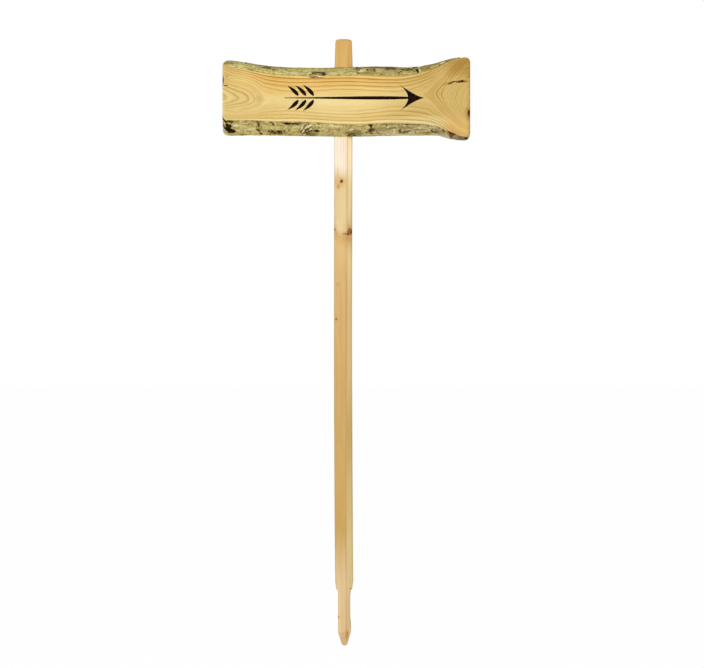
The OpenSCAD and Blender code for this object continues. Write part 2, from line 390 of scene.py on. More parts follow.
# The slab's wood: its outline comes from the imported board

slab = {
    "columns": 360, "cornerColumns": 9, "cornerReach": 14,  # along the board
    "layers": 12, "rows": 84,  # through its thickness and up its face
    "arris": 0.7,  # softening of the arris between face and live edge
    # Ripples here and below: height, size along, through and up, seed
    "sanded": (0.12, (60, 20, 30), 5), "sawn": (0.10, (4, 20, 60), 6),  # on the face and on the back
    "stainEdge": (0.35, (3.5, 1, 2.5), 7),
    "pocketShade": (252, 257, 275, 279),  # the bark pocket below, darkened by its own dark bark and by painted shade of the hollow: starts, is full, is full, ends
    "sunkShade": (0.56, 0.85),  # how dark a crack is beside its knot, and elsewhere: its own brown with painted shade of the recess
    "knotCrack": (250, 288, 299),  # the knot's stretch of it, and the end right of which it is brown too
}
slabLow, slabHigh = boxOf("board")
slabBack = slabHigh[1]


def readSlab():
    # Heights of both live edges at every column and depth, and where the face lies
    tree = treeOf("board")
    inset, far = 0.05, 2000
    turn = np.radians(np.linspace(0, 90, slab["cornerColumns"] + 1))
    corner = slab["cornerReach"] * (1 - np.cos(turn))
    columns = np.concatenate([
        slabLow[0] + corner[:-1],
        np.linspace(slabLow[0] + corner[-1], slabHigh[0] - corner[-1], slab["columns"]),
        (slabHigh[0] - corner[:-1])[::-1],
    ])
    depths = np.linspace(0, 1, slab["layers"] + 1)
    middle = (slabLow[2] + slabHigh[2]) / 2
    face, upper, lower = [], [], []
    for x in np.clip(columns, slabLow[0] + inset, slabHigh[0] - inset):
        face.append(hitPoint(tree, (x, -far, middle), (0, 1, 0)).y)
        rows = np.clip(slabBack + depths * (face[-1] - slabBack), face[-1] + inset, slabBack - inset)
        upper.append([hitPoint(tree, (x, y, far), (0, 0, -1)).z for y in rows])
        lower.append([hitPoint(tree, (x, y, -far), (0, 0, 1)).z for y in rows])
    return columns, depths, np.array(face), {1: np.array(upper), -1: np.array(lower)}


slabX, slabDepths, slabFace, slabEdges = readSlab()


def faceY(x):
    return np.interp(x, slabX, slabFace)


def edgeZ(x, u, side):
    # Height of the wood's live edge, u of the way from the back to the face
    i, p = cellIndex(slabX, x)
    j, q = cellIndex(slabDepths, u)
    table = slabEdges[side]
    return ((1 - p) * ((1 - q) * table[i, j] + q * table[i, j + 1])
            + p * ((1 - q) * table[i + 1, j] + q * table[i + 1, j + 1]))


# The pattern of the year rings: a ring number for every point of the slab, so that
# face, back and end grain belong together. Rings follow the live edges, the log's
# middle lies behind the board and the grain swings out at both ends.
grain = {
    "ringsToBark": 6.7, "spread": 1.15, "roundness": 0.2,  # from the middle of the face to the bark
    "ringsInDepth": 7.5,  # from the face to the back
    # The log's middle, and how many rings the ends swing out by: place along, value
    "heart": [(-297, 1217), (-200, 1213), (50, 1210), (180, 1219), (235, 1226), (305, 1203)],
    "leftEnd": [(-300, 5.6), (-275, 4.6), (-257, 4.05), (-231, 3.05), (-218, 2.05), (-207, 1.05),
                (-197, 0.2), (-189, 0), (0, 0)],
    "rightEnd": [(0, 0), (195, 0), (214, 0.6), (228, 2.0), (240, 3.1), (262, 6.2), (285, 9.8), (312, 14.5)],
    "held": (1.0, 0.45, 0.9),  # how firmly the bark holds them: left, right above, right below
    "fade": (2, 1.45),  # how late the swing dies out towards the bark, left and right
    # Place (x, z), reach along and across, and rings added at its middle
    "swirls": [(-300, 1264.5, 20, 8.5, 3.3), (-264, 1184, 17, 6, -1.8), (309, 1180, 14, 17, -3.2),
               (284, 1252, 26, 7, 1.0), (232, 1176, 30, 12, -0.7), (-235, 1172, 40, 7, 0.5)],
    "behind": 0.3,  # share of a swirl that reaches the back
    "waves": [(0.16, (170, 60, 30), 1), (0.06, (30, 20, 7), 2)],
    "flareWaves": [(0.4, (26, 30, 16), 3), (0.22, (7, 20, 13), 4)], "flare": (225, 265),
    "shiftAbove": 0.2,  # rings that the upper half lacks
    "bolder": 0.5, "bolderFrom": (240, 280),  # lines above the middle at the flare
    # How strong the line is that ends each year, left and right of the middle
    "left": [(-7, 0.6), (-6, 0.7), (-5, 0.75), (-4, 1), (-3, 1), (-2, 0.7), (-1, 0.2), (0, 0.25), (1, 0.4),
             (2, 0.7), (3, 0.7), (4, 0.95), (5, 1.3), (6, 0.7), (7, 0.5)],
    "right": [(-16, 0.3), (-14, 0.7), (-13, 0.3), (-12, 0.5), (-11, 0.25), (-10, 0.4), (-9, 0.2), (-8, 0.9),
              (-7, 0.25), (-6, 0.4), (-5, 0.35), (-4, 0.4), (-3, 0.9), (-2, 0.9), (-1, 0.55), (0, 0.3),
              (1, 0.35), (2, 0.8), (3, 0.85), (4, 1), (5, 1.5), (6, 0.8), (7, 0.5)],
}
# Dark knots, pitch and stain on the slab: place (x, z), half length, half height,
# tilt in degrees, strength
slabStains = [
    (309, 1180, 3, 8, 0, 1.0), (307, 1177, 6, 17, 4, 0.27), (309.5, 1169, 3, 6, 0, 0.42),
    (303.5, 1173, 1.3, 9, 10, 0.26), (300, 1187, 6, 1.6, 70, 0.25), (-297, 1260, 2.4, 10, 0, 0.95),
    (-290, 1247, 5, 1.1, -4, 0.9), (289, 1257, 14, 3.2, 4, 0.5), (266, 1254, 13, 2.6, 20, 0.5),
    (246, 1247, 10, 1.0, 32, 0.2), (208, 1287.5, 6, 1.7, 8, 0.65), (-176, 1169, 1.2, 1.4, 0, 0.4),
    (-72, 1267.5, 13, 2.8, 0, 0.62), (-56, 1266.5, 9, 1.2, 0, 0.5), (-132, 1155, 24, 1.2, 0, 0.35),
    (-286, 1160.5, 15, 1.6, -6, 0.7), (174, 1151.5, 26, 0.9, 0, 0.35), (38, 1272.5, 22, 0.9, 0, 0.25),
    (-209, 1214, 9, 9, 0, 0.12), (290, 1315.5, 15, 2.2, 3, 0.34), (289, 1305, 10, 1.0, 42, 0.2),
    (297, 1303, 9, 1.0, 42, 0.2), (283, 1303, 8, 0.9, 40, 0.14), (305, 1290, 6, 0.9, 45, 0.16),
    (262, 1270, 6, 0.9, 62, 0.14), (267, 1268, 6, 0.9, 62, 0.16),
]


def growthAt(points):
    # Ring number, strength of the line, place from the middle (0) to the bark (1, or -1
    # below), place from the back to the face, and where no line shows
    x, y, z = points.T
    u = np.clip((y - slabBack) / (faceY(x) - slabBack), 0, 1)
    heart = curveThrough(grain["heart"], x)
    above = (z - heart) / np.maximum(edgeZ(x, u, 1) - heart, 1)
    below = (heart - z) / np.maximum(heart - edgeZ(x, u, -1), 1)
    t = np.clip(np.where(z > heart, above, below), 0, 1.1)
    ends = curveThrough(grain["leftEnd"], x) + curveThrough(grain["rightEnd"], x)
    half, c = grain["spread"] / 2, grain["roundness"]
    rings = grain["ringsToBark"] * ((t * t + c * c) ** half - c ** (2 * half))
    left, rightAbove, rightBelow = grain["held"]
    held = np.where(x < 0, left, np.where(z > heart, rightAbove, rightBelow))
    rings -= ends * (1 - held * t ** np.where(x < 0, *grain["fade"]))
    rings -= grain["ringsInDepth"] * (1 - u) * (1 - t * t)
    swirled = np.zeros(len(x))
    for sx, sz, along, across, added in grain["swirls"]:
        near = hill((x - sx) / along, (z - sz) / across)
        rings += added * near * (grain["behind"] + (1 - grain["behind"]) * u)
        swirled = np.maximum(swirled, near ** 0.4 * smooth(0.8, 2.6, abs(added)))
    rings += sum(ripple(points, *wave) for wave in grain["waves"])
    rings += sum(ripple(points, *wave) for wave in grain["flareWaves"]) * smooth(*grain["flare"], x)
    rings -= grain["shiftAbove"] * (z > heart) * smooth(0.2, 0.6, t)
    strengths = [np.interp(rings, *zip(*grain[side])) for side in ("left", "right")]
    strength = np.maximum(np.where(x < 0, *strengths), 0.9 * swirled)
    bolder = smooth(*grain["bolderFrom"], x) * smooth(0.4, 0.6, t) * (z > heart)
    strength = strength * (1 + grain["bolder"] * bolder)
    # The middle of the face lies along one year's growth, so no line shows there
    quiet = smooth(0.34, 0.1, t) * smooth(0.5, 0.1, ends) * (u > 0.9)
    return rings, strength, np.where(z > heart, t, -t), u, quiet


def slabStainAt(x, z):
    # Strongest of the elliptic stains at each point, with uneven edges
    uneven = ripple(stacked(x, 0, z), *slab["stainEdge"])
    found = np.zeros(len(x))
    for sx, sz, along, across, tilt, strength in slabStains:
        p, q = turned(x - sx, z - sz, tilt)
        d = np.hypot(p / along, q / across)
        found = np.maximum(found, strength * smooth(1.35, 0.55, d + uneven * (d < 3)))
    return found


# The mark on the face: a plain direction arrow in the manner of a pen, routed into
# the wood. Its size is that of the face's middle field.
arrow = {
    "middle": (27, 1216.5), "length": 344, "height": 69,
    "shaft": 4.4, "headLength": 64, "barbInset": 24,  # half width of the shaft, size of the head
    # Pairs of feathers: how many, the first's place from the tail, their spacing and lean,
    # where they start beside the middle, and their half width
    "feathers": 3, "feathersFrom": 34, "featherGap": 19, "featherLean": 27,
    "featherFoot": 4.6, "featherWidth": 4.6,
    "depth": 1.5, "paint": 0.6,  # depth of the routed groove and thickness of its paint
}


def arrowOutlines():
    mx, mz = arrow["middle"]
    half, rise, w = arrow["length"] / 2, arrow["height"] / 2, arrow["shaft"]
    barb = half - arrow["headLength"]
    neck = barb + arrow["barbInset"]
    upper = bezier([(-half, 0.9), (-half * 0.35, 0.4 * w), (0.3 * half, 1.5 * w), (neck, 0.62 * w)], 28)
    upper += bezier([(neck, 0.62 * w), (neck - 3, 0.55 * rise), (barb, rise)], 10)[1:]
    upper += bezier([(barb, rise), (neck + 6, 0.42 * rise), (half - 20, 0.14 * rise), (half, 0)], 16)[1:]
    lower = [Vector((p[0], -p[1])) for p in upper[:-1]][::-1]
    outlines = [upper + lower]
    steps = 12
    swell = [math.sin(math.pi * (i / steps) ** 0.75) for i in range(steps + 1)]
    widths = [0.15 + arrow["featherWidth"] * share for share in swell]
    for k in range(arrow["feathers"]):
        foot = -half + arrow["feathersFrom"] + k * arrow["featherGap"]
        tip = rise - 2 - 1.5 * (arrow["feathers"] - 1 - k)
        for side in (-1, 1):
            line = [(foot, side * arrow["featherFoot"]), (foot - 7, side * 0.5 * rise),
                    (foot - arrow["featherLean"], side * tip)]
            outlines.append(strokeOutline(bezier(line, steps), widths))
    return [[(mx + p[0], mz + p[1]) for p in outline] for outline in outlines]


# Open cracks and bark pockets in the face: centre line, half widths and depth
slabCracks = [
    ([(239, 1246), (248, 1251.5), (257, 1256)], [0.2, 0.45, 0.2], 2),
    ([(257, 1251), (263, 1252.8), (271, 1256.4), (278, 1257)], [0.7, 1.8, 1.5, 0.5], 3),
    ([(276, 1255.2), (283, 1255.4), (288, 1256.6), (292.5, 1258), (297, 1256.4)],
     [0.7, 1.5, 2.0, 3.1, 0.7], 5),
    ([(300, 1256), (303, 1256.6), (307, 1258.6)], [0.5, 1.1, 0.3], 3),
    ([(-294, 1247.6), (-290, 1247), (-285, 1246.2)], [0.2, 1.0, 0.1], 3),
    ([(-299.5, 1251), (-298.6, 1260), (-299.5, 1269)], [1.2, 3.6, 1.2], 9),
]
# Two screws hold the board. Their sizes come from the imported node, and these are the
# gaps round them, the length of their points and what lies past the tips and the seats.
screws = {"pilotGap": 0.05, "boreGap": 0.25, "headGap": 0.1, "point": 6, "pastTip": 1, "pastSeat": 0.5}
screwLow, screwHigh = boxOf("fixing_screws")
screwRadius = (screwHigh[0] - screwLow[0]) / 2
screwHeights = (screwLow[2] + screwRadius, screwHigh[2] - screwRadius)
threadRadius = screwRadius / 2
cutterReach = 4  # how far a cutter stands out of the wood


def makeSlab():
    def place(s, depth, rise):
        x = np.interp(s, np.linspace(0, 1, len(slabX)), slabX)
        u = 1 - depth
        low, high = edgeZ(x, u, -1), edgeZ(x, u, 1)
        front, back, inner = depth == 0, depth == 1, (rise > 0) & (rise < 1)
        y = slabBack + u * (faceY(x) - slabBack)
        y = y + np.where(inner, 0, slab["arris"] * (1 * front - 1 * back))
        points = stacked(x, y, low + rise * (high - low))
        # The face was sanded by hand, and the back is as the saw left it
        for flat, left in ((front & inner, slab["sanded"]), (back & inner, slab["sawn"])):
            points[flat, 1] += ripple(points[flat], *left)
        return points, {}

    obj = blockObject("slabBoard", (len(slabX) - 1, slab["layers"], slab["rows"]), place)
    front, tip = slabLow[1], screwLow[1]
    cutters = [prisms("arrowCutter", arrowOutlines(), front - cutterReach, front + arrow["depth"])]
    for k, (line, widths, depth) in enumerate(slabCracks):
        outline = strokeOutline(line, widths)
        cutters.append(prisms(f"crackCutter{k}", [outline], front - cutterReach, front + depth))
    pilot = threadRadius + screws["pilotGap"]
    profile = [(pilot, slabBack + 3), (pilot, tip + screws["point"]), (0.3, tip - screws["pastTip"])]
    cutters += [roundCutter("pilotCutter", profile, 0, z, 24) for z in screwHeights]
    carve(obj, cutters)

    points = pointsOf(obj)
    rings, strength, t, u, quiet = growthAt(points)
    x, y, z = points.T
    # Under the bark the wood's skin is pale and stringy; in a groove or crack it is dark, partly from the
    # scorched groove walls and the crack's own brown, partly as painted shade of the recess
    ends = np.minimum(x - slabLow[0], slabHigh[0] - x)
    sunkShade = smooth(0.25, 0.6, y - faceY(x)) * (np.abs(t) < 0.93) * (u > 0.6) * (ends > 3)
    first, last, beyond = slab["knotCrack"]
    sunkShade *= np.where((x > first) & (x < last) | (x > beyond), *slab["sunkShade"])
    # The bark pocket: its own dark bark with painted shade of the hollow, darkest under the face's edge
    starts, full, stillFull, gone = slab["pocketShade"]
    pocketShade = smooth(starts, full, x) * smooth(gone, stillFull, x) * (t < -0.985) * (u < 0.995)
    pocketShade *= 0.55 + 0.4 * smooth(0.75, 0.95, u)
    stain = slabStainAt(x, z) * (0.4 + 0.6 * u)
    skin = smooth(0.985, 1.0, np.abs(t)) * (u < 0.995) * smooth(6, 16, ends)
    # The stain value also carries this painted shade of the cracks, the groove and the pocket
    stain = np.maximum(stain, np.maximum(sunkShade, pocketShade))
    setValues(obj, rings=rings, strength=strength, above=t, quiet=quiet, stain=stain, skin=skin)
    return obj


# Sawn and sanded conifer slab under a clear satin oil: pale springwood between
# narrow amber summerwood lines, warmer towards the upper edge, browner at the flare
slabLook = {
    "cream": "DEC88B", "honey": "E0C178", "tan": "CAAF6D", "edge": "D4BF80", "sapwood": "E4D7A2",
    "goldenCorner": "B4924C", "paleCorner": "DAB774",  # above and below at the right end
    "leftRim": "E4DBA6", "rightRimShade": "A98A48",  # the sawn ends' arrises; the right one's dark tint is painted shade where its rounded arris turns from the light
    # What a summerwood line takes from the wood's colour, and what a dense year takes
    "summerwood": "DCCBA0", "summerwoodWarm": "C6A766", "summerwoodTan": "D0C29C", "band": "E9D3A2",
    "stain": "2A1404", "halo": "94662E", "skin": "C9BA7C",
    # Where along the board a colour starts and where it is full, millimetres
    "tanFrom": (60, 225), "edgeFrom": (-170, -300), "widerFrom": (60, 160), "cornersFrom": (230, 275),
    "leftRimFrom": (-291, -297.5), "rightRimShadeFrom": (302, 311.5), "rimShare": 0.6,
    # Sizes along, through and up the board, millimetres
    "fibre": (70, 1.1, 1.1), "fleck": (14, 0.9, 0.9), "cloud": 75,
    "roughness": 0.55, "ior": 1.5, "gloss": 0.1, "bump": (0.25, 0.3),  # bump: strength, millimetres
}


def slabMaterial():
    look = slabLook
    soft = {"interpolation_type": "SMOOTHSTEP"}
    material, add, rings, above, stain, skin, strength, quiet = newMaterial(
        "sandedConiferSlab", "rings", "above", "stain", "skin", "strength", "quiet")
    place = add("TexCoord").outputs["Object"]
    x = add("SeparateXYZ", place).outputs["X"]
    x = add("Math", x, 1000, operation="MULTIPLY")  # millimetres

    # Fibres run along the board: long thin streaks
    fibres = add("Mapping", named={"Vector": place, "Scale": patternScale(look["fibre"])})
    fibres = add("TexNoise", fibres, 1.0, 4.0, 0.6)
    flecks = add("Mapping", named={"Vector": place, "Scale": patternScale(look["fleck"])})
    flecks = add("TexNoise", flecks, 1.0)
    clouds = add("TexNoise", place, patternScale(look["cloud"]))

    # Each ring: pale at first, darkening to a line that ends at once
    wave = add("Math", fibres, 0.16, rings, operation="MULTIPLY_ADD")
    age = add("Math", wave, operation="FRACT")
    line = add("ValToRGB", age, stops=[
        (0.0, 0.8), (0.07, 0.12), (0.3, 0.0), (0.6, 0.16), (0.82, 0.75), (0.95, 1.0), (1.0, 1.0)])
    # Finer lines and broad dense bands go with the rings, so both follow the grain
    thin = add("Math", wave, 2.7, operation="MULTIPLY")
    thin = add("Math", thin, operation="FRACT")
    thin = add("ValToRGB", thin, stops=[(0.0, 0.5), (0.15, 0.0), (0.55, 0.0), (0.9, 1.0), (1.0, 1.0)])
    thin = add("Math", thin, 0.28, operation="MULTIPLY")
    band = add("TexNoise", wave, 0.8, 2.0, noise_dimensions="1D")
    shown = add("MapRange", quiet, 0.0, 1.0, 1.0, 0.25)
    line = add("Math", line, strength, operation="MULTIPLY")
    line = add("Math", line, thin, operation="MAXIMUM")
    line = add("Math", line, shown, operation="MULTIPLY")

    # Broad colour: cream in the middle, honey above, tan towards the flare
    warm = add("MapRange", above, -0.02, 0.62, **soft)
    brown = add("MapRange", x, *look["tanFrom"], **soft)
    colour = add("Mix", warm, look["cream"], look["honey"])
    colour = add("Mix", brown, colour, look["tan"])
    colour = tinted(add, colour, x, *look["edgeFrom"], look["edge"], 0.85)
    # The sapwood above the lower bark widens to the right
    wider = add("MapRange", x, *look["widerFrom"], 0.0, -0.22)
    sap = add("Math", above, wider, operation="ADD")
    sap = add("MapRange", sap, -0.87, -0.97, 0.0, 0.65, **soft)
    colour = add("Mix", sap, colour, look["sapwood"])
    rightEnd = add("MapRange", x, *look["cornersFrom"], **soft)
    for key, start, full in (("goldenCorner", 0.42, 0.78), ("paleCorner", -0.3, -0.75)):
        corner = add("MapRange", above, start, full, **soft)
        corner = add("Math", corner, rightEnd, operation="MULTIPLY")
        colour = add("Mix", corner, colour, look[key])
    # The right end's dark rim is painted shade on its rounded arris
    for key in ("leftRim", "rightRimShade"):
        colour = tinted(add, colour, x, *look[key + "From"], look[key], look["rimShare"])
    colour = toned(add, colour, band, [(0.38, look["band"]), (0.6, "FFFFFF")], 0.4)
    dark = add("Mix", warm, look["summerwood"], look["summerwoodWarm"])
    dark = add("Mix", brown, dark, look["summerwoodTan"])
    colour = add("Mix", line, colour, dark, blend_type="MULTIPLY")
    colour = toned(add, colour, fibres, [(0.25, 0.82), (0.5, 0.97), (0.72, 1.0)], 0.85)
    colour = toned(add, colour, flecks, [(0.24, 0.72), (0.36, 1.0)], 0.55)
    colour = toned(add, colour, clouds, [(0.3, "F0E4C8"), (0.65, "FFFFFF")], 0.5)
    colour = add("Mix", skin, colour, look["skin"])
    # Real stains and knots, and the painted shade of the cracks, the groove and the bark pocket
    colour = tinted(add, colour, stain, 0.02, 0.45, look["halo"])
    colour = tinted(add, colour, stain, 0.35, 0.85, look["stain"])
    coat(add, look, colour, add("Math", line, 0.6, fibres, operation="MULTIPLY_ADD"))
    return material


slabBoard = makeSlab()
addPiece(slabBoard, slabMaterial(), ["board"])
print("slab ready", len(slabBoard.data.polygons), "faces")


# Enamel in the routed groove: nearly black brown, matt, slightly uneven from the brush
paintLook = {"colour": "0E0503", "worn": "200F09", "brush": 6, "roughness": 0.8, "ior": 1.5, "gloss": 0.06,
             "bump": (0.3, 0.4)}


def paintMaterial():
    look = paintLook
    material, add = newMaterial("brushedEnamel")
    place = add("TexCoord").outputs["Object"]
    uneven = add("TexNoise", place, patternScale(look["brush"]), 3.0)
    colour = add("ValToRGB", uneven, stops=[(0.45, look["colour"]), (0.75, look["worn"])])
    coat(add, look, colour, uneven)
    return material


grooveFloor = slabLow[1] + arrow["depth"]
arrowPaint = prisms("arrowPaint", arrowOutlines(), grooveFloor - arrow["paint"], grooveFloor - 0.02)
addPiece(arrowPaint, paintMaterial())
print("arrow ready")


# Bark strips. A place on a strip is x along the board and u from the back to the face,
# and lift is the height above the wood. "Across" runs from 0 at the face to 1 at the
# outline, as it is seen from the front.
bark = {
    "cell": 1.15, "rows": 36, "coats": 3,
    "wave": (0.5, (26, 14, 14), 31), "skin": (0.24, (5.0, 2.0, 2.0), 32, 2),  # slow and fine unevenness
    "leftBreak": (1.6, 7, 21), "rightBreak": (1.6, 7, 22), "markEdge": (0.5, (4.5, 3, 3), 11),
    "chipped": 0.07, "chipSize": (12, 1, 1),  # how far the front edge has chipped back from the face
    "leastLift": 0.5, "full": 3.0,  # the bark's least thickness, and that of the long strips
}
# One entry for each strip: the node it stands for, its side of the board, its
# thickness, how far its ends stand in at the back and at the face, how far it has aged,
# the colour that it ages to, its shade (a tint over all of it), and the painted shade at its outline, where
# it turns from the light
barkStrips = {
    "upperBark": {
        "node": "upper_bark", "side": 1, "lift": 3.0, "start": (0, 0), "finish": (8, 0),
        "grey": 0.15, "aged": "A8934F", "shade": "FFFFFF", "outlineShade": "D6CEB0"},
    "upperCornerBark": {
        "node": "upper_corner_bark", "side": 1, "lift": 1.6, "start": (0, 8), "finish": (0, 0),
        "grey": 0.3, "aged": "A08C50", "shade": "F0E2C2", "outlineShade": "C8BC9C"},
    "lowerBark": {
        "node": "lower_bark", "side": -1, "lift": 3.0, "start": (0, 0), "finish": (-1, 8),
        "grey": 0.2, "aged": "CBBD98", "shade": "FAF4EE", "outlineShade": "FFFFFF"},
    "lowerCornerBark": {
        "node": "lower_corner_bark", "side": -1, "lift": 1.6, "start": (-1, 8), "finish": (0, 0),
        "grey": 1.0, "aged": "C2B79E", "shade": "DCD4C8", "outlineShade": "F0ECE0"},
}
